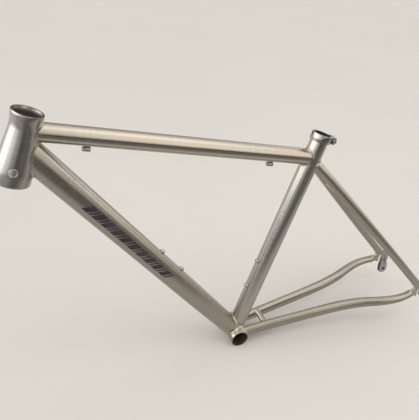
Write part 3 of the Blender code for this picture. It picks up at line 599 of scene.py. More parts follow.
BORE_SHADE = (0.075, 0.068, 0.060)    # painted shade inside the bores
# Each bore tone below is painted shade inside the bore
metals = {
    "top": metal("brushed_titanium_top", base=(0.455, 0.418, 0.360), rough=0.24,
                 heat=((0, 30), (TOP_LENGTH, 40))),
    "down": metal("brushed_titanium_down", base=(0.435, 0.405, 0.360), rough=0.25,
                  heat=((0, 40), (DOWN_LENGTH, 60))),
    "seat": metal("brushed_titanium_seat", base=(0.435, 0.422, 0.390), rough=0.23,
                  heat=((8, 40), (TOP_AT_SEAT, 30)), bore=BORE_SHADE),
    # The head's bore darkens with depth and its top end face is darkened: both painted shade
    "head": metal("turned_titanium_head", base=(0.440, 0.415, 0.395), rough=0.23,
                  grain_scale=(26, 26, 1700), grain=0.08, edge_wear_and_hollow_shade=0.12, bore=BORE_SHADE,
                  bore_fade=(31.0, 23.0), end=(30.3, (0.14, 0.13, 0.12))),
    "stay": metal("brushed_titanium_stay", base=(0.395, 0.368, 0.322), rough=0.18,
                  grain_scale=(34, 34, 1300)),
    "seatstay": metal("brushed_titanium_seatstay", base=(0.44, 0.410, 0.360), rough=0.31,
                      grain_scale=(34, 34, 1300)),
    # The shell's bore and the inner ring of each end face are darkened: painted shade in the mouth
    "shell": metal("turned_titanium_shell", base=(0.43, 0.41, 0.38), rough=0.28,
                   grain_scale=(30, 30, 2200), bore=(0.105, 0.098, 0.090),
                   lip=(18.5, (0.085, 0.078, 0.070))),
    "plate": metal("machined_titanium_plate", base=(0.44, 0.42, 0.385), rough=0.30,
                   grain_scale=(60, 900, 60), grain=0.12, edge_wear_and_hollow_shade=0.6),
    "bright": metal("polished_aluminium", base=(0.385, 0.37, 0.365), rough=0.20,
                    grain_scale=(60, 60, 1900), grain=0.05, blotch=0.06, bump=0.10,
                    tint=(1, 0.98, 0.95), edge_wear_and_hollow_shade=0.3, scratches=0.8, bore=(0.16, 0.15, 0.14)),
    "steel": metal("stainless_steel", base=(0.52, 0.51, 0.49), rough=0.24,
                   grain_scale=(90, 90, 2600), grain=0.08, edge_wear_and_hollow_shade=0.5),
    "satin": metal("satin_grey_aluminium", base=(0.36, 0.35, 0.375), rough=0.34,
                   grain_scale=(90, 90, 900), tint=(1, 1.0, 1.06), edge_wear_and_hollow_shade=0.7, scratches=0.8,
                   bore=BORE_SHADE),
    "dark": metal("black_oxide_steel", base=(0.055, 0.055, 0.060), rough=0.36,
                  grain_scale=(90, 90, 900), tint=(1, 1.0, 1.05), edge_wear_and_hollow_shade=0.8),
    "weld": metal("titanium_weld_bead", base=(0.47, 0.445, 0.405), rough=0.27,
                  grain_scale=(260, 260, 260), blotch=0.14, bump=0.15,
                  tint=(1.0, 0.92, 0.76), edge_wear_and_hollow_shade=0.25, scratches=0.0),
    "boss": metal("turned_titanium_boss", base=(0.45, 0.43, 0.40), rough=0.27,
                  grain_scale=(120, 120, 3000), edge_wear_and_hollow_shade=0.5, bore=BORE_SHADE),
    "badge": metal("plain_badge_plate", base=(0.80, 0.79, 0.77), rough=0.18,
                   grain_scale=(800, 60, 60), grain=0.08, edge_wear_and_hollow_shade=0.4),
}
ink_film = ink("dark_slate_ink", base=(0.030, 0.029, 0.037))

# ------------------------------------------------------------------ head tube
HEAD_SKIN = tuple(reversed(HEAD_PROFILE[1:-1]))     # (height, radius) between the edge breaks


def head_radius(height):
    return interp(HEAD_SKIN, height)


def head_outline():
    """The outer profile as closely spaced (radius, height), from the top down."""
    outline = []
    for (high, r0), (low, r1) in zip(HEAD_PROFILE, HEAD_PROFILE[1:]):
        steps = max(1, int(abs(low - high) / HEAD_STEP))
        for step in range(steps):
            height = high + (low - high) * step / steps
            if HEAD_SKIN[0][0] < height < HEAD_SKIN[-1][0]:
                radius = head_radius(height)
            else:
                radius = r0 + (r1 - r0) * step / steps
            outline.append((radius, height))
    return outline + [(HEAD_PROFILE[-1][1], -HEAD_DOWN)]


head_outer = head_outline()
head_bore = [           # (radius, height), from the bottom up
    (HEAD_R_LOW + 0.5, -HEAD_DOWN), (HEAD_R_LOW, -HEAD_DOWN + 0.6), (HEAD_R_LOW, -66.4),
    (HEAD_R_LOW - 0.4, -66.0), (26.6, -65.6), (25.4, -42.0), (22.0, -9.0), (21.1, 1.0),
    (20.8, 8.0), (21.0, 15.2), (HEAD_R_TOP - 0.3, 15.6), (HEAD_R_TOP, 16.0),
    (HEAD_R_TOP, HEAD_UP - 0.6), (HEAD_R_TOP + 0.5, HEAD_UP)]
head_tube = lathe("head_tube_fine", head_axes, head_outer + head_bore, TURNED_SEG, closed=True)
finish(head_tube, metals["head"], "head_grey", 40)
head_grown = ([(HEAD_PROFILE[0][1] + GAP, HEAD_UP + 6)]
              + [(radius + GAP, height) for radius, height in head_outer]
              + [(HEAD_PROFILE[-1][1] + GAP, -HEAD_DOWN - 6)])
head_cut = lathe("cut_head", head_axes, head_grown, TURNED_SEG, cutters)


# ------------------------------------------------------------------ bottom bracket shell
def shell_profile():
    """Closed (radius, height) section: broken outer edges and a thread at each end."""
    outer, bore, half, pitch = SHELL_R, SHELL_BORE_R, SHELL_HALF, SHELL_PITCH
    root = bore + 0.5
    thread_end = half - 0.8
    profile = [(outer - 0.6, half), (outer - 0.15, half - 0.15), (outer, half - 0.6),
               (outer, -half + 0.6), (outer - 0.15, -half + 0.15), (outer - 0.6, -half),
               (bore + 0.7, -half), (bore + 0.05, -half + 0.7)]
    for i in range(SHELL_TURNS):
        y = -thread_end + i * pitch
        profile += [(bore, y), (root, y + pitch * 0.5)]
    profile += [(bore, -thread_end + SHELL_TURNS * pitch),
                (bore, thread_end - SHELL_TURNS * pitch)]
    for i in range(SHELL_TURNS):
        y = thread_end - (SHELL_TURNS - i) * pitch
        profile += [(root, y + pitch * 0.5), (bore, y + pitch)]
    return profile + [(bore + 0.7, half)]


shell = lathe("bottom_bracket_shell_fine", shell_axes, shell_profile(), TURNED_SEG, closed=True)
finish(shell, metals["shell"], "machined", 28)
shell_cut = rod("cut_bb", shell_axes, SHELL_R + GAP, -SHELL_HALF - 6, SHELL_HALF + 6, TURNED_SEG)


# ------------------------------------------------------------------ down tube
def down_radii(along):
    """Upright and level radii; the oval keeps the round tube's girth."""
    tall = interp(DOWN_TALL, along / DOWN_LENGTH) / 2
    round_r = DOWN_ROUND / 2
    return tall, math.sqrt(2 * round_r * round_r - tall * tall)


def down_rings(offset, z0, z1, count=24):
    rings = []
    for k in range(count + 1):
        z = z0 + (z1 - z0) * k / count
        tall, wide = down_radii(z)
        rings.append(oval(tall + offset, wide + offset, z, TUBE_SEG))
    return rings


down_tube = loft("down_tube_fine", down_rings(0, 0, DOWN_LENGTH), down_axes)
down_cut = loft("cut_down", down_rings(GAP, -2, DOWN_LENGTH + 2), down_axes, cutters)
down_bore = loft("bore_down", down_rings(-DOWN_WALL, -6, DOWN_LENGTH + 6, 8), down_axes, cutters)
cut(down_tube, down_bore, shell_cut, head_cut)
finish(down_tube, metals["down"], "tube_warm")

# ------------------------------------------------------------------ seat tube
PINCH_START = SEAT_LENGTH - PINCH_LENGTH
REAM_START = SEAT_LENGTH - SEAT_REAM
seat_tube = lathe("seat_tube_fine", seat_axes,
                  [(SEAT_R, 0), (SEAT_R, SEAT_LENGTH - 0.4), (SEAT_R - 0.4, SEAT_LENGTH)],
                  TUBE_SEG)
seat_cut = rod("cut_seat", seat_axes, SEAT_R + GAP, -2, SEAT_LENGTH + 10, TUBE_SEG)
seat_bore = lathe("bore_seat", seat_axes,
                  [(SEAT_ID_LOW / 2, -5), (SEAT_ID_LOW / 2, REAM_START - SEAT_REAM_TAPER),
                   (SEAT_ID_TOP / 2, REAM_START), (SEAT_ID_TOP / 2, SEAT_LENGTH + 5)],
                  TUBE_SEG, cutters)
# Pinch slot up the rear wall, ending in a round hole
pinch_slot = block("cut_pinch_slot", seat_axes, (-SEAT_OD, -PINCH_HALF, PINCH_START),
                   (-8, PINCH_HALF, SEAT_LENGTH + 5))
pinch_hole = rod("cut_pinch_relief", axes_at(SEAT_AXIS * (PINCH_START * MM), SEAT_REAR, SEAT_AXIS),
                 PINCH_HOLE_R, 8, SEAT_OD, 32)
cut(seat_tube, seat_bore, shell_cut, down_cut, pinch_slot, pinch_hole)
finish(seat_tube, metals["seat"], "tube_warm")

# ------------------------------------------------------------------ top tube
top_tube = rod("top_tube_fine", top_axes, TOP_R, 0, TOP_LENGTH, TUBE_SEG, shapes)
top_bore = rod("bore_top", top_axes, TOP_R - TOP_WALL, -4, TOP_LENGTH + 4, TUBE_SEG)
cut(top_tube, top_bore, head_cut, down_cut, seat_cut)
finish(top_tube, metals["top"], "tube_warm")


# ------------------------------------------------------------------ stays
class StayPath:
    """Oval tube swept along world points in metres, its section kept upright.

    tall and wide are (share, half width) tables."""

    def __init__(self, points, tall, wide):
        self.points = points
        self.tall = tall
        self.wide = wide
        self.lengths = [0.0]
        for start, end in zip(points, points[1:]):
            self.lengths.append(self.lengths[-1] + (end - start).length)
        self.total = self.lengths[-1]

    def at(self, distance):
        """Centre and direction at a distance along the path."""
        points, lengths = self.points, self.lengths
        last = len(points) - 1
        distance = min(max(distance, 0), self.total)
        i = next(i for i in range(last) if distance <= lengths[i + 1])
        u = (distance - lengths[i]) / (lengths[i + 1] - lengths[i])
        before = (points[i + 1] - points[max(i - 1, 0)]).normalized()
        after = (points[min(i + 2, last)] - points[i]).normalized()
        return points[i].lerp(points[i + 1], u), before.lerp(after, u).normalized()

    def section(self, distance, grow=0.0):
        centre, along = self.at(distance)
        side = Vector((0, 0, 1)).cross(along).normalized()
        share = min(max(distance / self.total, 0), 1)
        return (centre, along, side, along.cross(side),
                (interp(self.tall, share) + grow) * MM, (interp(self.wide, share) + grow) * MM)

    def rings(self, grow=0.0, round_start=0.0, round_end=0.0):
        def ring(distance, factor):
            centre, _, side, up, tall, wide = self.section(distance, grow)
            tall, wide = max(tall * factor, 0.0002), max(wide * factor, 0.0002)
            turns = [math.tau * i / STAY_SEG for i in range(STAY_SEG)]
            return [centre + up * (tall * math.cos(turn)) + side * (wide * math.sin(turn))
                    for turn in turns]

        angles = [math.pi / 2 * (k + 0.35) / (ROUND_STEPS + 0.35) for k in range(ROUND_STEPS)]
        rows = []
        if round_start:
            rows += [ring(round_start * MM * (1 - math.cos(angle)), math.sin(angle))
                     for angle in angles]
        first, last = round_start * MM, self.total - round_end * MM
        count = len(self.points) - 1
        rows += [ring(first + (last - first) * k / count, 1.0) for k in range(count + 1)]
        if round_end:
            rows += [ring(self.total - round_end * MM * (1 - math.cos(angle)), math.sin(angle))
                     for angle in reversed(angles)]
        return rows


def chainstay_path(sign, start=CHAINSTAY_Y[0][0], end=CHAINSTAY_Y[-1][0], count=44):
    first, last = CHAINSTAY_Y[0][0], CHAINSTAY_Y[-1][0]
    ease, ease_at, ease_spread = CHAINSTAY_EASE
    points = []
    for k in range(count + 1):
        behind = start + (end - start) * k / count
        y = interp(CHAINSTAY_Y, behind) - ease * math.exp(-((behind - ease_at) / ease_spread) ** 2)
        share = (behind - first) / (last - first)
        points.append(point(-behind, sign * y, interp(CHAINSTAY_Z, share)))
    return StayPath(points, CHAINSTAY_TALL, CHAINSTAY_WIDE)


def seatstay_point(sign, share):
    top = SEAT_AXIS * (SEATSTAY_TOP * MM)
    rest = 1 - share
    x = (top.x / MM + SEATSTAY_TOP_OFF[0]) * rest + SEATSTAY_FOOT[0] * share
    z = (top.z / MM + SEATSTAY_TOP_OFF[1]) * rest + SEATSTAY_FOOT[1] * share
    y = SEATSTAY_Y[0] * rest + SEATSTAY_Y[1] * share + SEATSTAY_BOW * 4 * share * rest
    y -= SEATSTAY_TUCK * math.exp(-max(share, 0) / SEATSTAY_TUCK_FADE)
    return point(x, sign * y, z)


def seatstay_path(sign, start=SEATSTAY_START, end=1.0):
    dense = SEATSTAY_DENSE
    shares = [start + (dense - start) * k / 12 for k in range(13)]
    shares += [dense + (end - dense) * k / 24 for k in range(1, 25)]
    return StayPath([seatstay_point(sign, share) for share in shares], SEATSTAY_R, SEATSTAY_R)


def build_stay(name, path, bore_path, obstacles, round_start=0.0):
    """Returns the stay, the cutter grown round it and its path."""
    ends = path.points[0], path.points[-1]
    axes = axes_at(ends[0], ends[1] - ends[0], Vector((0, 0, 1)))
    stay = in_axes(loft(name + "_fine", path.rings(0, round_start, END_ROUND)), axes)
    grown = loft("cut_" + name, path.rings(GAP), group=cutters)
    bore = loft("bore_" + name, bore_path.rings(-STAY_WALL), group=cutters)
    cut(stay, bore, *obstacles)
    return stay, grown, path


chainstays, seatstays = {}, {}
for side, sign in SIDES:
    chainstays[side] = build_stay("chainstay_" + side, chainstay_path(sign),
                                  chainstay_path(sign, *CHAINSTAY_BORE), (shell_cut, seat_cut))
    seatstays[side] = build_stay("seatstay_" + side, seatstay_path(sign),
                                 seatstay_path(sign, *SEATSTAY_BORE), (seat_cut,), END_ROUND)


# ------------------------------------------------------------------ bridges
def build_bridge(kind, centre, half, stays):
    axes = axes_at(centre, LEFT, FORWARD)
    bridge = rod(kind + "_bridge_fine", axes, BRIDGE_R, -half, half, SMALL_SEG, shapes)
    bore = rod("bore_bridge", axes, BRIDGE_R - BRIDGE_WALL, -half - 5, half + 5, SMALL_SEG)
    cut(bridge, bore, stays["left"][1], stays["right"][1])
    finish(bridge, metals["stay"], "tube_warm")
    return axes


cs_bridge_axes = build_bridge("chainstay", point(CS_BRIDGE[0], 0, CS_BRIDGE[1]),
                              CS_BRIDGE_HALF, chainstays)
bridge_end = seatstay_point(1, SS_BRIDGE_SHARE)
SS_BRIDGE_HALF = bridge_end.y / MM
ss_bridge_axes = build_bridge("seatstay", Vector((bridge_end.x, 0, bridge_end.z)),
                              SS_BRIDGE_HALF, seatstays)


# ------------------------------------------------------------------ dropouts
# Outlines are (x, z) from the axle
def arc(cx, cz, radius, start, end, count):
    angles = [math.radians(start + (end - start) * i / count) for i in range(count + 1)]
    return [(cx + radius * math.cos(angle), cz + radius * math.sin(angle)) for angle in angles]


foot_dir = (seatstay_point(1, 0.9) - seatstay_point(1, 1.0)).normalized()
foot_x, foot_z = Vector((foot_dir.x, foot_dir.z)).normalized()
foot = (SEATSTAY_FOOT[0] - AXLE[0], SEATSTAY_FOOT[1] - AXLE[1])


def on_seatstay(along, across):
    """Outline point up the seatstay from its foot, and rearwards across it."""
    return (foot[0] + foot_x * along - foot_z * across,
            foot[1] + foot_z * along + foot_x * across)


def at_axle(offset, y):
    return point(AXLE[0] + offset[0], y, AXLE[1] + offset[1])


def axle_slot(side, y):
    """Cutter for the round axle seat and the slot that opens below it."""
    radius, centre = AXLE_SLOT_R, at_axle((0, 0), y)
    hole = rod("cut_axle_" + side, axes_at(centre, LEFT, FORWARD), radius, -8, 8, SMALL_SEG)
    way = block("cut_slot_" + side, Matrix.Translation(centre),
                (-radius, -8, -40), (radius, 8, 0))
    join(hole, way, solver='MANIFOLD')
    return hole


dropout_front = [
    (4.0, -14.6), (8.5, -14.8), (12.0, -13.2), (14.6, -11.4), (24.4, -12.2), (26.0, -10.6),
    (25.6, 1.8), (24.0, 2.8), (18.6, 4.6), (15.0, 8.4),
    on_seatstay(3.0, -TAB_HALF), on_seatstay(15.0, -TAB_HALF),
    on_seatstay(16.5, -TAB_HALF + 1.6), on_seatstay(16.5, TAB_HALF - 1.6),
    on_seatstay(15.0, TAB_HALF), on_seatstay(0.0, TAB_HALF)]
DROPOUTS = {
    "left": dropout_front + arc(0, 0, 13.6, 128, 232, 28) + [(-5.6, -16.4), (-4.0, -16.4)],
    "right": dropout_front + [
        on_seatstay(-4.0, TAB_HALF + 2.0), (-19.0, 8.6), (-23.4, 3.4), (-25.4, -3.0),
        (-25.8, -12.0), (-25.4, -21.6), (-24.4, -22.6), (-8.2, -22.6), (-6.0, -21.0),
        (-4.0, -18.4)]}
# Room cleared in the stays for the plate
STAY_CLEARANCE = [
    (12.0, -13.6), (26.4, -13.6), (26.4, 3.8), (14.0, 7.0),
    on_seatstay(4.0, -TAB_HALF - GAP), on_seatstay(17.0, -TAB_HALF - GAP),
    on_seatstay(17.0, TAB_HALF + GAP), on_seatstay(-10.0, TAB_HALF + GAP), (-10.0, 0.0)]
HANGER_POCKET = [(-4.0, -8.7), (-4.0, -24.6), (-20.0, -24.6), (-17.0, -7.0), (-4.0, -7.0)]
HANGER_Y = -HUB_HALF        # inner face of the right dropout
HANGER_LAP = 2.8            # thickness of the tongue let into the pocket
HANGER_THICK = 7.4
HANGER_HOLE = (-19.4, -45.4)
HANGER_BOLT = (-12.2, -14.6)
hanger_bolt_axes = axes_at(at_axle(HANGER_BOLT, HANGER_Y), -LEFT, FORWARD)
hanger_bolt_hole = rod("cut_hanger_bolt", hanger_bolt_axes, 2.3, -4, 12, 32)

for side, sign in SIDES:
    y_in, y_out = sign * HUB_HALF, sign * (HUB_HALF + PLATE)
    dropout = plate(f"dropout_{side}_fine", DROPOUTS[side], y_in, y_out, shapes)
    cut(dropout, axle_slot(side, (y_in + y_out) / 2))
    clearance = plate("cut_dropout_" + side, STAY_CLEARANCE, y_in - GAP * sign,
                      y_out + GAP * sign)
    chainstay, seatstay = chainstays[side][0], seatstays[side][0]
    cut(chainstay, clearance)
    cut(seatstay, clearance)
    if side == "right":
        pocket = plate("cut_hanger_pocket", HANGER_POCKET, HANGER_Y + 1.0,
                       HANGER_Y - HANGER_LAP - GAP)
        cut(dropout, pocket, hanger_bolt_hole)
    bevel(dropout, width=0.45, angle=50)
    finish(dropout, metals["plate"], "machined", 30)
    finish(chainstay, metals["stay"], "tube_warm")
    finish(seatstay, metals["seatstay"], "tube_warm")

# ------------------------------------------------------------------ derailleur hanger
HANGER_TONGUE = [(-6.6, -9.2), (-6.6, -23.6), (-18.4, -23.6), (-15.6, -9.8), (-13.0, -7.6),
                 (-9.0, -7.6)]
HANGER_BODY = ([(-6.6, -23.0), (-6.9, -36.0)] + arc(*HANGER_HOLE, 11.4, -6, -180, 36)
               + [(-30.2, -37.0), (-27.6, -27.0), (-25.2, -23.0)])
hanger = plate("derailleur_hanger_fine", HANGER_BODY, HANGER_Y, HANGER_Y - HANGER_THICK, shapes)
join(hanger, plate("add_hanger_tongue", HANGER_TONGUE, HANGER_Y, HANGER_Y - HANGER_LAP))
hanger_thread = []
for i in range(24):
    hanger_thread += [(5.0, -12 + i * 0.6), (5.35, -12 + i * 0.6 + 0.3)]
hanger_thread += [(5.0, 2.5), (5.0, 4.0)]
cut(hanger, lathe("cut_hanger_hole", axes_at(at_axle(HANGER_HOLE, HANGER_Y), LEFT, FORWARD),
                  hanger_thread, SMALL_SEG, cutters), hanger_bolt_hole)
bevel(hanger, width=0.4, angle=60)
finish(hanger, metals["satin"], "hanger_grey", 30)


# ------------------------------------------------------------------ fasteners
def screw(name, axes, head_r, head_h, shank_r, shank_l, hex_r, hex_d, lift,
          dark=False, pitch=0.8, dome=0.82):
    """Socket screw with a threaded shank; lift is the height of the head's seat and dome the
    share of its radius left at the top."""
    profile = [(shank_r - 0.5, lift - shank_l)]
    for i in range(int((shank_l - 1.2) / pitch)):
        z = lift - shank_l + 0.4 + i * pitch
        profile += [(shank_r - 0.38, z), (shank_r, z + pitch * 0.5)]
    profile += [(shank_r - 0.3, lift - 0.6), (shank_r - 0.05, lift), (head_r - 0.2, lift),
                (head_r, lift + 0.2), (head_r, lift + head_h * 0.55)]
    for k in range(1, 6):
        rise = math.sin(k / 5 * math.pi / 2)
        profile.append((head_r * (1 - (1 - dome) * rise ** 1.6),
                        lift + head_h * (0.55 + 0.45 * rise)))
    piece = lathe(name + "_fine", axes, profile, SMALL_SEG)
    top = lift + head_h
    socket = lathe("socket_" + name, axes, [(hex_r, top - hex_d), (hex_r, top + 2)], 6, cutters)
    lead_in = lathe("socket_lead_" + name, axes,
                    [(hex_r * 0.80, top - 0.35), (hex_r * 1.12, top + 0.15)],
                    SMALL_SEG, cutters)
    cut(piece, socket, lead_in, solver='EXACT')
    finish(piece, metals["dark" if dark else "steel"], "dark" if dark else "screw", 30, name)


screw("hanger_bolt", hanger_bolt_axes, head_r=3.6, head_h=2.0, shank_r=2.0, shank_l=5.6,
      hex_r=1.3, hex_d=1.2, lift=PLATE + GAP, dark=True, pitch=0.7)

# ------------------------------------------------------------------ bottle bosses and bolts
BOSS_PITCH = 64.0
BOSS_SEAT_MID = 154.2       # midway between the pair, along each tube
BOSS_DOWN_MID = 270.5
BOSS_R = 5.6
BOSS_TOP = 1.7
BOSS_BARREL = 4.0
BOSS_DEPTH = 9.0
BOSS_HOLE = 2.8


def boss(label, tube, axes):
    profile = [(BOSS_R - 0.35, BOSS_TOP), (BOSS_R, BOSS_TOP - 0.35), (BOSS_R, GAP),
               (BOSS_BARREL, GAP), (BOSS_BARREL, -BOSS_DEPTH), (BOSS_HOLE, -BOSS_DEPTH)]
    for i in range(12):
        profile += [(BOSS_HOLE, -8.6 + i * 0.8), (BOSS_HOLE + 0.3, -8.2 + i * 0.8)]
    profile += [(BOSS_HOLE, BOSS_TOP - 0.5), (BOSS_HOLE + 0.35, BOSS_TOP)]
    piece = lathe(f"bottle_boss_{label}_fine", axes, profile, SMALL_SEG, closed=True)
    finish(piece, metals["boss"], "machined", 30)
    cut(tube, rod("cut_boss_" + label, axes, BOSS_BARREL + GAP, -12, 6, SMALL_SEG))
    screw("bottle_bolt_" + label, axes, head_r=4.3, head_h=2.7, shank_r=2.45, shank_l=11.0,
          hex_r=1.75, hex_d=1.5, lift=BOSS_TOP + GAP)


down_up = down_axes.col[0].to_3d().normalized()
for label, offset in (("lower", -BOSS_PITCH / 2), ("upper", BOSS_PITCH / 2)):
    along = BOSS_SEAT_MID + offset
    boss("seat_" + label, seat_tube,
         axes_at(SEAT_AXIS * (along * MM) - SEAT_REAR * (SEAT_R * MM), -SEAT_REAR, SEAT_AXIS))
    along = BOSS_DOWN_MID + offset
    boss("down_" + label, down_tube,
         axes_at(DOWN_AXIS * (along * MM) + down_up * (down_radii(along)[0] * MM),
                 down_up, DOWN_AXIS))

# ------------------------------------------------------------------ cable stops
STOP_X = (("front", 298.2), ("rear", -39.0))
STOP_DROP = TOP_R + 6.0     # below the top tube's axis
STOP_PROFILE = [            # (radius, height)
    (3.3, -7.0), (3.75, -6.85), (4.0, -6.5), (4.1, -6.2), (4.1, 4.5), (3.95, 4.9), (3.2, 6.7),
    (2.9, 7.0)]
STOP_NECK = ((-8.5, -1.9, -5.0), (-1.0, 1.9, 4.0))      # corners of the web up to the tube
FERRULE_R = 2.6
CABLE_R = 1.0

for label, stop_x in STOP_X:
    base = TOP_START + TOP_AXIS * ((stop_x * MM - TOP_START.x) / TOP_AXIS.x)
    below = top_axes.col[0].to_3d().normalized()
    axes = axes_at(base + below * (STOP_DROP * MM), TOP_AXIS, below)
    stop = lathe(f"cable_stop_{label}_fine", axes, STOP_PROFILE, SMALL_SEG)
    join(stop, block("add_neck_" + label, axes, *STOP_NECK))
    cut(stop, rod("cut_ferrule_" + label, axes, FERRULE_R, -12, 3.0, 32),
        rod("cut_cable_" + label, axes, CABLE_R, -12, 12, 20),
        rod("cut_top_for_stop_" + label, top_axes, TOP_R + GAP, 40, TOP_LENGTH - 40, TUBE_SEG))
    finish(stop, metals["boss"], "machined", 30)

# ------------------------------------------------------------------ seat collar
COLLAR_LOW = 468.5
COLLAR_HIGH = 483.5
COLLAR_R = 20.2
COLLAR_BORE = 17.8
COLLAR_SLOT = 2.4
EAR_BACK = -31.0            # rear face of the ears
EAR_HALF = 9.5
BOLT_BACK = 25.6            # behind the seat tube's axis
BOLT_HEIGHT = (COLLAR_LOW + COLLAR_HIGH) / 2
NUT_SIDE = 6.2              # right of the middle plane
NUT_HOLE_R = 3.95
collar_from, collar_to = COLLAR_LOW - 5, COLLAR_HIGH + 5    # reach of cutters right through

collar = lathe("seat_collar_fine", seat_axes, [
    (COLLAR_R - 0.7, COLLAR_LOW), (COLLAR_R - 0.2, COLLAR_LOW + 0.2),
    (COLLAR_R, COLLAR_LOW + 0.7), (COLLAR_R, COLLAR_HIGH - 0.7),
    (COLLAR_R - 0.2, COLLAR_HIGH - 0.2), (COLLAR_R - 0.7, COLLAR_HIGH)], TUBE_SEG)
ears = block("add_collar_ears", seat_axes, (EAR_BACK, -EAR_HALF, COLLAR_LOW),
             (-10.0, EAR_HALF, COLLAR_HIGH))
bevel(ears, width=2.4, angle=30, segments=6)
join(collar, ears)
bolt_centre = SEAT_AXIS * (BOLT_HEIGHT * MM) + SEAT_REAR * (BOLT_BACK * MM)
bolt_axes = axes_at(bolt_centre, LEFT, SEAT_AXIS)
nut_axes = axes_at(bolt_centre - LEFT * (NUT_SIDE * MM), SEAT_AXIS, LEFT)
cut(collar,
    rod("cut_collar_bore", seat_axes, COLLAR_BORE, collar_from, COLLAR_HIGH - 0.9, TUBE_SEG),
    lathe("cut_collar_lip", seat_axes,
          [(16.6, collar_from), (16.6, COLLAR_HIGH - 0.4), (17.3, COLLAR_HIGH + 0.3),
           (17.3, collar_to)], TUBE_SEG, cutters),
    block("cut_collar_slot", seat_axes, (-50, -COLLAR_SLOT / 2, collar_from),
          (-12, COLLAR_SLOT / 2, collar_to)),
    rod("cut_collar_relief", axes_at(SEAT_REAR * (20.4 * MM), SEAT_AXIS, -SEAT_REAR), 2.3,
        collar_from, collar_to, 32),
    rod("cut_collar_bolt", bolt_axes, 2.9, -20, 20, 40),
    lathe("cut_collar_counterbore", bolt_axes, [(5.3, 7.0), (5.3, 9.2), (5.7, 9.6), (5.7, 20)],
          SMALL_SEG, cutters))
cut(collar, rod("cut_collar_nut", nut_axes, NUT_HOLE_R, -6.5, 6.5, 40),
    block("cut_collar_nut_way", nut_axes, (-20.0, -NUT_HOLE_R, -6.5), (0.0, NUT_HOLE_R, 6.5)),
    solver='EXACT')
finish(collar, metals["bright"], "polished", 30, "seat_collar")

nut = lathe("seat_collar_nut_fine", nut_axes, [(3.3, -6.0), (3.6, -5.7), (3.6, 5.7), (3.3, 6.0)],
            SMALL_SEG)
cut(nut, rod("cut_nut_thread", bolt_axes, 2.75, -20, 20, 40))
finish(nut, metals["steel"], "screw", 30, "seat_collar")
washer = lathe("seat_collar_washer_fine", bolt_axes, [
    (4.85, 8.3), (5.0, 8.15), (5.0, 7.45), (4.85, 7.3), (2.95, 7.3), (2.85, 7.4), (2.85, 8.2),
    (2.95, 8.3)], SMALL_SEG, closed=True)
finish(washer, metals["steel"], "screw", 30, "seat_collar")
screw("seat_collar_bolt", bolt_axes, head_r=4.4, head_h=4.0, shank_r=2.45, shank_l=18.4,
      hex_r=2.0, hex_d=2.2, lift=8.6, dome=0.9)

# ------------------------------------------------------------------ head badge
# Blank oval plate with a raised rim, wrapped on the left of the head tube
BADGE_HEIGHT = -59.2
BADGE_TURN = math.radians(90 - 5.0)     # from straight ahead round to the left
BADGE_HALF = (6.4, 7.2)                 # along and round the tube
BADGE_SEG = 64
BADGE_SECTION = (                       # (share of the oval, lift off the tube)
    (1.0, GAP), (1.0, 1.10), (0.975, 1.28), (0.86, 1.28), (0.83, 1.05), (0.5, 1.05),
    (0.2, 1.05), (0.02, 1.05), (0.02, GAP), (0.3, GAP), (0.7, GAP))


def head_outward(turn):
    x_axis, y_axis = head_axes.col[0].to_3d(), head_axes.col[1].to_3d()
    return x_axis * math.cos(turn) + y_axis * math.sin(turn)


def on_head(along, across, lift):
    """Point over the head tube's skin, from the badge's centre."""
    height = BADGE_HEIGHT + along
    turn = BADGE_TURN + across / (head_radius(BADGE_HEIGHT) + 1.0)
    return (HEAD_POINT + HEAD_AXIS * (height * MM)
            + head_outward(turn) * ((head_radius(height) + lift) * MM))


badge_rows = [[on_head(BADGE_HALF[0] * share * math.cos(math.tau * i / BADGE_SEG),
                       BADGE_HALF[1] * share * math.sin(math.tau * i / BADGE_SEG), lift)
               for i in range(BADGE_SEG)] for share, lift in BADGE_SECTION]
badge_axes = axes_at(HEAD_POINT + HEAD_AXIS * (BADGE_HEIGHT * MM), head_outward(BADGE_TURN),
                     HEAD_AXIS)
badge = in_axes(loft("head_badge_fine", badge_rows, closed=True), badge_axes)
finish(badge, metals["badge"], "polished", 30)

apply_all()


# ------------------------------------------------------------------ distance fields
# A field gives the rough distance outside a body, in mm, for an array of points
def array(vector):
    return np.array(vector, float)


def unit(rows):
    return rows / np.maximum(np.linalg.norm(rows, axis=1, keepdims=True), 1e-9)


def resample(places, known, table):
    return np.stack([np.interp(places, known, column) for column in table.T], axis=1)


def cylinder_field(origin, direction, radius):
    start, axis = array(origin) / MM, array(direction)

    def field(points):
        offset = points - start
        height = offset @ axis
        return np.linalg.norm(offset - height[:, None] * axis, axis=1) - radius
    return field


HEAD_TABLE = np.array(head_outer[::-1])     # (radius, height), from the bottom up


def head_field(points):
    offset = points - array(HEAD_POINT) / MM
    axis = array(HEAD_AXIS)
    height = offset @ axis
    return (np.linalg.norm(offset - height[:, None] * axis, axis=1)
            - np.interp(height, HEAD_TABLE[:, 1], HEAD_TABLE[:, 0]))


DOWN_STATIONS = np.linspace(0, DOWN_LENGTH, 60)
DOWN_TABLE = np.array([down_radii(station) for station in DOWN_STATIONS])


def down_table_radii(along):
    return (np.interp(along, DOWN_STATIONS, DOWN_TABLE[:, 0]),
            np.interp(along, DOWN_STATIONS, DOWN_TABLE[:, 1]))


def down_field(points):
    local = points @ np.array(down_axes.to_3x3())
    tall, wide = down_table_radii(local[:, 2])
    ratio = np.sqrt((local[:, 0] / tall) ** 2 + (local[:, 1] / wide) ** 2)
    return (ratio - 1) * np.sqrt(tall * wide)


def path_samples(path, count):
    """Distances, centres, directions, side and up vectors, and half widths along a stay."""
    rows = [path.section(path.total * i / (count - 1)) for i in range(count)]
    centre, along, side, up, tall, wide = (np.array(column, float) for column in zip(*rows))
    return (np.linspace(0, path.total / MM, count), centre / MM, along, side, up,
            tall / MM, wide / MM)


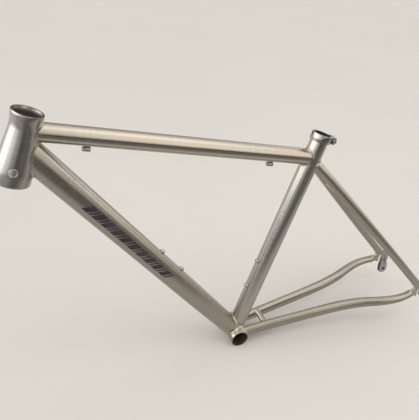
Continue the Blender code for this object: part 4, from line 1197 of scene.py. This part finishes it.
def path_field(path):
    lengths, centre, along, side, up, tall, wide = path_samples(path, 260)
    end = lengths[-1]

    def field(points):
        offsets = points[:, None, :] - centre[None]
        i = np.argmin((offsets ** 2).sum(-1), axis=1)
        offset = offsets[np.arange(len(points)), i]
        x = (offset * up[i]).sum(1)
        y = (offset * side[i]).sum(1)
        place = lengths[i] + (offset * along[i]).sum(1)
        into_tip = np.clip((place - (end - END_ROUND)) / END_ROUND, 0, 1)
        scale = np.sqrt(np.clip(1 - into_tip ** 2, 1e-4, 1))
        ratio = np.sqrt((x / (tall[i] * scale)) ** 2 + (y / (wide[i] * scale)) ** 2)
        value = (ratio - 1) * np.sqrt(tall[i] * wide[i]) * scale
        over = np.maximum(place - end, 0) + np.maximum(-place, 0)
        return np.where(over > 0, np.maximum(value, over), value)
    return field


def union(*fields):
    return lambda points: np.min([field(points) for field in fields], axis=0)


def gradient(field, points):
    slope = np.zeros_like(points)
    reach = 0.05
    for i in range(3):
        step = np.zeros(3)
        step[i] = reach
        slope[:, i] = (field(points + step) - field(points - step)) / (2 * reach)
    return unit(slope)


# A skin gives surface points for turns round a tube and distances along it
def straight_skin(matrix, radii):
    x_axis, y_axis, z_axis = np.array(matrix.to_3x3()).T
    origin = array(matrix.translation) / MM

    def skin(turn, along):
        x_radius, y_radius = radii(along)
        return (origin + (x_radius * np.cos(turn))[:, None] * x_axis
                + (y_radius * np.sin(turn))[:, None] * y_axis + along[:, None] * z_axis)
    return skin


def round_skin(matrix, radius):
    return straight_skin(matrix, lambda along: (radius, radius))


def path_skin(path):
    lengths, centre, _, side, up, tall, wide = path_samples(path, 400)

    def skin(turn, along):
        return (resample(along, lengths, centre)
                + resample(along, lengths, up)
                * (np.interp(along, lengths, tall) * np.cos(turn))[:, None]
                + resample(along, lengths, side)
                * (np.interp(along, lengths, wide) * np.sin(turn))[:, None])
    return skin


# ------------------------------------------------------------------ weld beads
RIPPLE = 1.7            # pitch of the ripples
BEAD_BELLY = 0.44       # fullness of the fillet, as a share of its width
RIPPLE_HEIGHT = 0.13
BEAD_DEPTH = 0.45       # how far the bead's root is sunk
BEAD_ROWS = 11


def seam(skin, main_field, far, near, count):
    """Where a branch's skin first meets the main body, coming from its far side."""
    turns = np.linspace(0, math.tau, count, endpoint=False)
    stations = np.linspace(far, near, 70)
    inside = np.stack([main_field(skin(turns, np.full(count, station))) < 0
                       for station in stations], axis=1)
    hit = inside.any(axis=1) & ~inside[:, 0]
    first = np.maximum(np.argmax(inside, axis=1), 1)
    outer, inner = stations[first - 1], stations[first]
    for _ in range(22):
        middle = (outer + inner) / 2
        within = main_field(skin(turns, middle)) < 0
        inner = np.where(within, middle, inner)
        outer = np.where(within, outer, middle)
    return skin(turns, (outer + inner) / 2), hit


def runs(mask):
    """Unbroken runs of a cyclic mask, as (indices, whether it is the whole loop)."""
    count = len(mask)
    if mask.all():
        return [(list(range(count)), True)]
    if not mask.any():
        return []
    start = next(i for i in range(count) if mask[i] and not mask[i - 1])
    found, current = [], []
    for j in range(count):
        i = (start + j) % count
        if mask[i]:
            current.append(i)
        elif current:
            found.append((current, False))
            current = []
    if current:
        found.append((current, False))
    return [run for run in found if len(run[0]) > 5]


def toe_direction(own, other, along):
    """Across the weld in the surface with normal own, away from the other body."""
    across = np.cross(own, along)
    return unit(across * np.where((across * other).sum(1) < 0, -1, 1)[:, None])


def bead(name, line, branch_normals, main_normals, closed, width, seed):
    """Rippled fillet along a line between two surfaces."""
    tables = (line, branch_normals, main_normals)
    if closed:
        tables = [np.vstack([table, table[:1]]) for table in tables]
    steps = np.linalg.norm(np.diff(tables[0], axis=0), axis=1)
    lengths = np.concatenate([[0], np.cumsum(steps)])
    total = lengths[-1]
    if total < 4:
        return
    ripples = max(3, round(total / RIPPLE))
    run = np.linspace(0, total, max(12, int(total / BEAD_STEP)), endpoint=not closed)
    root, branch, main = (resample(run, lengths, table) for table in tables)
    branch, main = unit(branch), unit(main)
    if closed:
        along = unit(np.roll(root, -1, axis=0) - np.roll(root, 1, axis=0))
    else:
        along = unit(np.gradient(root, axis=0))
    on_branch = toe_direction(branch, main, along)
    on_main = toe_direction(main, branch, along)
    outward = unit(branch + main)

    # The width wanders slowly, and fades at open ends
    phases = np.random.default_rng(seed + 11).uniform(0, math.tau, 4)
    reach = width * (1 + 0.06 * np.sin(math.tau * run / 23.0 + phases[0])
                     + 0.05 * np.sin(math.tau * run / 9.0 + phases[1]))
    if not closed:
        fade = np.clip(np.minimum(run, total - run) / 3.0, 0, 1) ** 0.5
        reach = reach * (0.25 + 0.75 * fade)
    reach = reach[:, None]
    main_toe, branch_toe = root + on_main * reach, root + on_branch * reach
    crown = root + (on_branch + on_main) * (reach * BEAD_BELLY) + outward * (0.10 * reach)

    rows = []
    for q in np.linspace(0, 1, BEAD_ROWS):
        row = (1 - q) ** 2 * main_toe + 2 * q * (1 - q) * crown + q ** 2 * branch_toe
        bow = (q - 0.5) ** 2 * 4 * RIPPLE * 0.55
        phase = (run + bow) * math.pi * ripples / total
        crest = np.abs(np.sin(phase)) ** 0.7
        height = RIPPLE_HEIGHT * math.sin(math.pi * q) ** 0.6 if 0 < q < 1 else 0.0
        jitter = 1 + 0.25 * np.sin(phase * 0.37 + phases[2]) * np.sin(phase * 0.11 + phases[3])
        rows.append(row + outward * (height * (crest - 0.35) * jitter)[:, None])
    rows += [branch_toe - branch * BEAD_DEPTH, root - outward * BEAD_DEPTH,
             main_toe - main * BEAD_DEPTH]
    piece = loft(name, np.stack(rows, axis=1) * MM, closed=closed)
    settle(piece, metals["weld"], 60)


def weld(name, skin, branch_field, main_field, far, near, width, seed, avoid=(), count=240):
    """Bead round a branch, left out where the seam lies inside a body to avoid."""
    line, mask = seam(skin, main_field, far, near, count)
    for field in avoid:
        mask &= field(line) > -0.4
    branch, main = gradient(branch_field, line), gradient(main_field, line)
    for i, (run, closed) in enumerate(runs(mask)):
        suffix = f"_{i + 1}" if i else ""
        bead(f"weld_{name}{suffix}", line[run], branch[run], main[run], closed, width, seed + i)


def plate_weld(name, field, centre, tip, y_face, y_sign, width, seed):
    """Bead round a stay's rounded end on one face of a dropout.

    centre is on the stay's axis near its end, and tip points towards the end."""
    along = np.array([tip.x, 0, tip.z])
    along /= np.linalg.norm(along)
    across = np.array([-along[2], 0, along[0]])
    count = 90
    angles = np.radians(np.linspace(-112, 112, count))
    rays = np.cos(angles)[:, None] * along + np.sin(angles)[:, None] * across
    origin = np.array([centre.x / MM, y_face, centre.z / MM])
    inner, outer = np.zeros(count), np.full(count, 24.0)
    for _ in range(26):
        middle = (inner + outer) / 2
        within = field(origin + rays * middle[:, None]) < 0
        inner, outer = np.where(within, middle, inner), np.where(within, outer, middle)
    line = origin + rays * inner[:, None]
    face_normals = np.tile(np.array([0, y_sign, 0.0]), (count, 1))
    bead(name, line, gradient(field, line), face_normals, False, width, seed)


seat_field = cylinder_field(ORIGIN, SEAT_AXIS, SEAT_R)
top_field = cylinder_field(TOP_START, TOP_AXIS, TOP_R)
shell_field = cylinder_field(ORIGIN, LEFT, SHELL_R)
cs_fields = {side: path_field(chainstays[side][2]) for side, _ in SIDES}
ss_fields = {side: path_field(seatstays[side][2]) for side, _ in SIDES}
top_skin = round_skin(top_axes, TOP_R)
seat_skin = round_skin(seat_axes, SEAT_R)
down_skin = straight_skin(down_axes, down_table_radii)
both_chainstays = tuple(cs_fields.values())

weld("top_to_head", top_skin, top_field, union(head_field, down_field),
     far=TOP_LENGTH - 90, near=TOP_LENGTH - 2, width=2.8, seed=1)
weld("top_to_seat", top_skin, top_field, seat_field, far=60, near=2, width=2.6, seed=2)
weld("down_to_head", down_skin, down_field, head_field,
     far=DOWN_LENGTH - 120, near=DOWN_LENGTH - 2, width=2.9, seed=3, avoid=(top_field,))
weld("down_to_bb", down_skin, down_field, shell_field, far=70, near=4, width=3.2, seed=4,
     avoid=(seat_field, *both_chainstays))
weld("seat_to_bb", seat_skin, seat_field, union(shell_field, down_field), far=90, near=4,
     width=3.0, seed=5, avoid=both_chainstays)
for side, sign in SIDES:
    cs_field, ss_field = cs_fields[side], ss_fields[side]
    weld(f"chainstay_{side}_to_bb", path_skin(chainstays[side][2]), cs_field,
         union(shell_field, seat_field), far=60, near=0.5, width=2.7, seed=6)
    weld(f"seatstay_{side}_to_seat", path_skin(seatstays[side][2]), ss_field, seat_field,
         far=120, near=0.5, width=2.4, seed=8)
    for kind, axes, stay_field, reach in (
            ("chainstay", cs_bridge_axes, cs_field, CS_BRIDGE_HALF - 1.0),
            ("seatstay", ss_bridge_axes, ss_field, SS_BRIDGE_HALF)):
        weld(f"{kind}_bridge_{side}", round_skin(axes, BRIDGE_R),
             cylinder_field(axes.translation, LEFT, BRIDGE_R), stay_field,
             far=sign * 2.0, near=sign * reach, width=1.9, seed=10, count=120)
for side, sign in SIDES:
    for kind, path, field in (("chainstay", chainstays[side][2], cs_fields[side]),
                              ("seatstay", seatstays[side][2], ss_fields[side])):
        centre, tip = path.at(path.total - 9.5 * MM)
        for face, y_face, y_sign in (("in", sign * HUB_HALF, -sign),
                                     ("out", sign * (HUB_HALF + PLATE), sign)):
            plate_weld(f"weld_{kind}_{side}_dropout_{face}", field, centre, tip,
                       y_face, y_sign, width=1.5, seed=20)

# ------------------------------------------------------------------ down tube graphic
# A plain rhythm of narrow and wide slanted bars on each flank
BAR_START = 268.0
BAR_WIDTHS = (4.6, 13.4)
BAR_SPACE = 2.6
BAR_PAIRS = 10
BAR_LOW = -20.0             # degrees from straight sideways, up round the tube
BAR_HIGH = 22.0
BAR_SLANT = -13.0           # shift along the tube from the low to the high edge
FILM = (0.02, 0.09)         # lift of the film's under and upper sides
FILM_ALONG = 8
FILM_ROUND = 12

bars = []
bar_start = BAR_START
for _ in range(BAR_PAIRS):
    for bar_width in BAR_WIDTHS:
        bars.append((bar_start, bar_start + bar_width))
        bar_start += bar_width + BAR_SPACE


def bar_point(start, end, i, j, lift, sign):
    along = start + (end - start) * i / FILM_ALONG + BAR_SLANT * j / FILM_ROUND
    tall, wide = down_radii(along)
    turn = math.radians(90 - (BAR_LOW + (BAR_HIGH - BAR_LOW) * j / FILM_ROUND))
    # Local Y of the down tube points right
    return ((tall + lift) * math.cos(turn) * MM, -(wide + lift) * math.sin(turn) * sign * MM,
            along * MM)


def graphic(name, sign):
    rows, columns = FILM_ALONG, FILM_ROUND
    layer_size = (rows + 1) * (columns + 1)
    verts, faces = [], []
    for start, end in bars:
        base = len(verts)
        verts += [bar_point(start, end, i, j, lift, sign)
                  for lift in FILM for i in range(rows + 1) for j in range(columns + 1)]

        def at(layer, i, j):
            return base + layer * layer_size + i * (columns + 1) + j

        for i in range(rows):
            for j in range(columns):
                faces.append((at(0, i, j), at(0, i + 1, j), at(0, i + 1, j + 1), at(0, i, j + 1)))
                faces.append((at(1, i, j), at(1, i, j + 1), at(1, i + 1, j + 1), at(1, i + 1, j)))
        for i in range(rows):
            faces.append((at(0, i, 0), at(1, i, 0), at(1, i + 1, 0), at(0, i + 1, 0)))
            faces.append((at(0, i, columns), at(0, i + 1, columns),
                          at(1, i + 1, columns), at(1, i, columns)))
        for j in range(columns):
            faces.append((at(0, 0, j), at(0, 0, j + 1), at(1, 0, j + 1), at(1, 0, j)))
            faces.append((at(0, rows, j), at(1, rows, j), at(1, rows, j + 1), at(0, rows, j + 1)))
    film = mesh_object(name, verts, faces, down_axes)
    bpy.context.view_layer.update()
    settle(film, ink_film, 40)


for side, sign in SIDES:
    graphic("down_tube_graphic_" + side, sign)

# ------------------------------------------------------------------ floor
FLOOR_Z = -0.4 * MM         # metres, as are the other floor sizes
FLOOR_HALF = 14.0
# (y, brightness) of the floor as the metal mirrors it
GLOSSY_FLOOR = ((-0.30, 0.65), (0.00, 0.50), (0.15, 0.60), (0.35, 0.48), (0.70, 0.16),
                (1.30, 0.25), (2.00, 0.12), (2.80, 0.06))


def floor_material():
    """Pale matt floor that mirrors in the metal as a painted profile across Y."""
    material = bpy.data.materials.new("pale_floor")
    net = Net(material)
    tone = net.noise((1.2, 1.2, 1.2), detail=3.0, rough=0.5, source=net.object_coords())
    pale = net.mix(net.ramp(tone, 0.3, 0.7), (0.562, 0.549, 0.528), (0.573, 0.561, 0.540))
    net.link(pale, net.bsdf.inputs["Base Color"])
    net.bsdf.inputs["Roughness"].default_value = 0.9
    net.bsdf.inputs["Specular IOR Level"].default_value = 0.1

    place = net.separate(net.object_coords())
    first, last = GLOSSY_FLOOR[0][0], GLOSSY_FLOOR[-1][0]
    profile = net.node("ShaderNodeValToRGB")
    net.link(net.ramp(place["Y"], first, last, kind='LINEAR'), profile.inputs["Fac"])
    stops = profile.color_ramp.elements
    while len(stops) > 1:
        stops.remove(stops[-1])
    for i, (y, level) in enumerate(GLOSSY_FLOOR):
        position = (y - first) / (last - first)
        stop = stops.new(position) if i else stops[0]
        stop.position = position
        stop.color = (level, level * 0.955, level * 0.885, 1.0)
    # Brighter ahead of the head tube
    ahead = net.math('MULTIPLY', net.ramp(place["X"], 0.45, 1.5), 0.22)
    glow = net.node("ShaderNodeEmission")
    net.link(net.mix(ahead, profile.outputs["Color"], (1.5, 1.5, 1.5)), glow.inputs["Color"])

    pick = net.node("ShaderNodeMixShader")
    net.link(net.node("ShaderNodeLightPath").outputs["Is Glossy Ray"], pick.inputs[0])
    net.link(net.bsdf.outputs[0], pick.inputs[1])
    net.link(glow.outputs[0], pick.inputs[2])
    net.link(pick.outputs[0], net.tree.nodes["Material Output"].inputs["Surface"])
    return material


floor_mesh = bpy.data.meshes.new("studio_floor")
floor_mesh.from_pydata([(x * FLOOR_HALF, y * FLOOR_HALF, FLOOR_Z)
                        for x, y in ((-1, -1), (1, -1), (1, 1), (-1, 1))], [], [(0, 1, 2, 3)])
floor = bpy.data.objects.new("studio_floor", floor_mesh)
bpy.context.scene.collection.objects.link(floor)
floor_mesh.materials.append(floor_material())

# ------------------------------------------------------------------ studio surroundings
# Soft boxes: azimuth, elevation, inner and outer half-angles in degrees, brightness
SOFTBOXES = (
    (-180, 5, 6, 34, 0.73), (-150, 5, 6, 34, 0.38), (-120, 5, 6, 34, 0.23),
    (-90, 5, 6, 34, 0.01), (-30, 5, 6, 34, 1.02), (0, 5, 6, 34, 1.59),
    (30, 5, 6, 34, 0.93), (60, 5, 6, 34, 0.64), (90, 5, 6, 34, 0.27),
    (120, 14, 6, 32, 0.72), (150, 5, 6, 34, 0.03),
    (-180, 38, 8, 46, 0.65), (-140, 38, 8, 46, 0.35), (-100, 38, 8, 46, 0.18),
    (-60, 38, 8, 46, 0.15), (-20, 38, 8, 46, 1.15), (20, 38, 8, 46, 0.83),
    (100, 38, 8, 46, 0.08), (140, 38, 8, 46, 0.69),
    (90, 75, 10, 50, 0.82), (-90, 75, 10, 50, 0.29))
BACKDROP = 0.80             # level that the camera sees directly


def lobe(net, sky, azimuth, elevation, inner, outer):
    """1 within the inner half-angle round a direction, falling to 0 at the outer one."""
    turn, rise = math.radians(azimuth), math.radians(elevation)
    dot = net.node("ShaderNodeVectorMath", operation='DOT_PRODUCT')
    net.link(sky, dot.inputs[0])
    dot.inputs[1].default_value = (math.cos(rise) * math.cos(turn),
                                   math.cos(rise) * math.sin(turn), math.sin(rise))
    return net.ramp(dot.outputs["Value"], math.cos(math.radians(outer)),
                    math.cos(math.radians(inner)))


def build_world():
    world = bpy.data.worlds.new("studio")
    bpy.context.scene.world = world
    net = Net(world)
    net.tree.nodes.clear()
    sky = net.node("ShaderNodeTexCoord").outputs["Generated"]
    level = net.math('ADD', 0.0, 0.0)
    for *shape, brightness in SOFTBOXES:
        level = net.math('ADD', level,
                         net.math('MULTIPLY', lobe(net, sky, *shape), brightness))
    camera_ray = net.node("ShaderNodeLightPath").outputs["Is Camera Ray"]
    strength = net.node("ShaderNodeMix", data_type='FLOAT')
    net.link(net.math('MULTIPLY', camera_ray, 1.0), strength.inputs[0])
    net.link(level, strength.inputs[2])
    strength.inputs[3].default_value = BACKDROP
    ahead = lobe(net, sky, azimuth=0, elevation=0, inner=20, outer=60)
    background = net.node("ShaderNodeBackground")
    # Warm light, turning neutral from straight ahead
    net.link(net.mix(ahead, (1.0, 0.965, 0.905), (0.99, 1.0, 1.0)), background.inputs["Color"])
    net.link(strength.outputs[0], background.inputs["Strength"])
    output = net.node("ShaderNodeOutputWorld")
    net.link(background.outputs[0], output.inputs["Surface"])


def build_key_light():
    """Soft light that stays out of the metal's reflections."""
    light = bpy.data.lights.new("key_softbox", 'AREA')
    light.shape = 'RECTANGLE'
    light.size = 1.6
    light.size_y = 1.2
    light.energy = 9
    light.color = (1, 0.98, 0.95)
    key = bpy.data.objects.new("key_softbox", light)
    bpy.context.scene.collection.objects.link(key)
    location, target = Vector((-0.9, 0.9, 2.4)), Vector((0, 0, 0.25))
    key.location = location
    key.rotation_mode = 'QUATERNION'
    key.rotation_quaternion = (target - location).to_track_quat('-Z', 'Y')
    key.visible_glossy = False


# Camera axes and place, in metres from the shell's centre
CAMERA_RIGHT = (-0.9414708533, 0.3340037278, 0.0455427504)
CAMERA_UP = (-0.1252219547, -0.4719620707, 0.8726805062)
CAMERA_BACK = (0.3129729930, 0.8159003086, 0.4861631332)
CAMERA_PLACE = (0.38908462, 0.71894151, 0.79727945)


def build_camera():
    lens = bpy.data.cameras.new("camera")
    camera = bpy.data.objects.new("camera", lens)
    bpy.context.scene.collection.objects.link(camera)
    view = Matrix((CAMERA_RIGHT, CAMERA_UP, CAMERA_BACK)).transposed().to_4x4()
    view.translation = CAMERA_PLACE
    camera.matrix_world = PLACE @ view
    lens.sensor_width = 36.0
    lens.lens = 41.245
    lens.shift_x = 0.0361
    lens.shift_y = -0.0398
    lens.clip_start = 0.02
    lens.clip_end = 60.0
    bpy.context.scene.camera = camera


build_world()
build_key_light()
build_camera()
bpy.context.scene.view_settings.view_transform = 'Standard'
bpy.context.scene.view_settings.exposure = 0.0
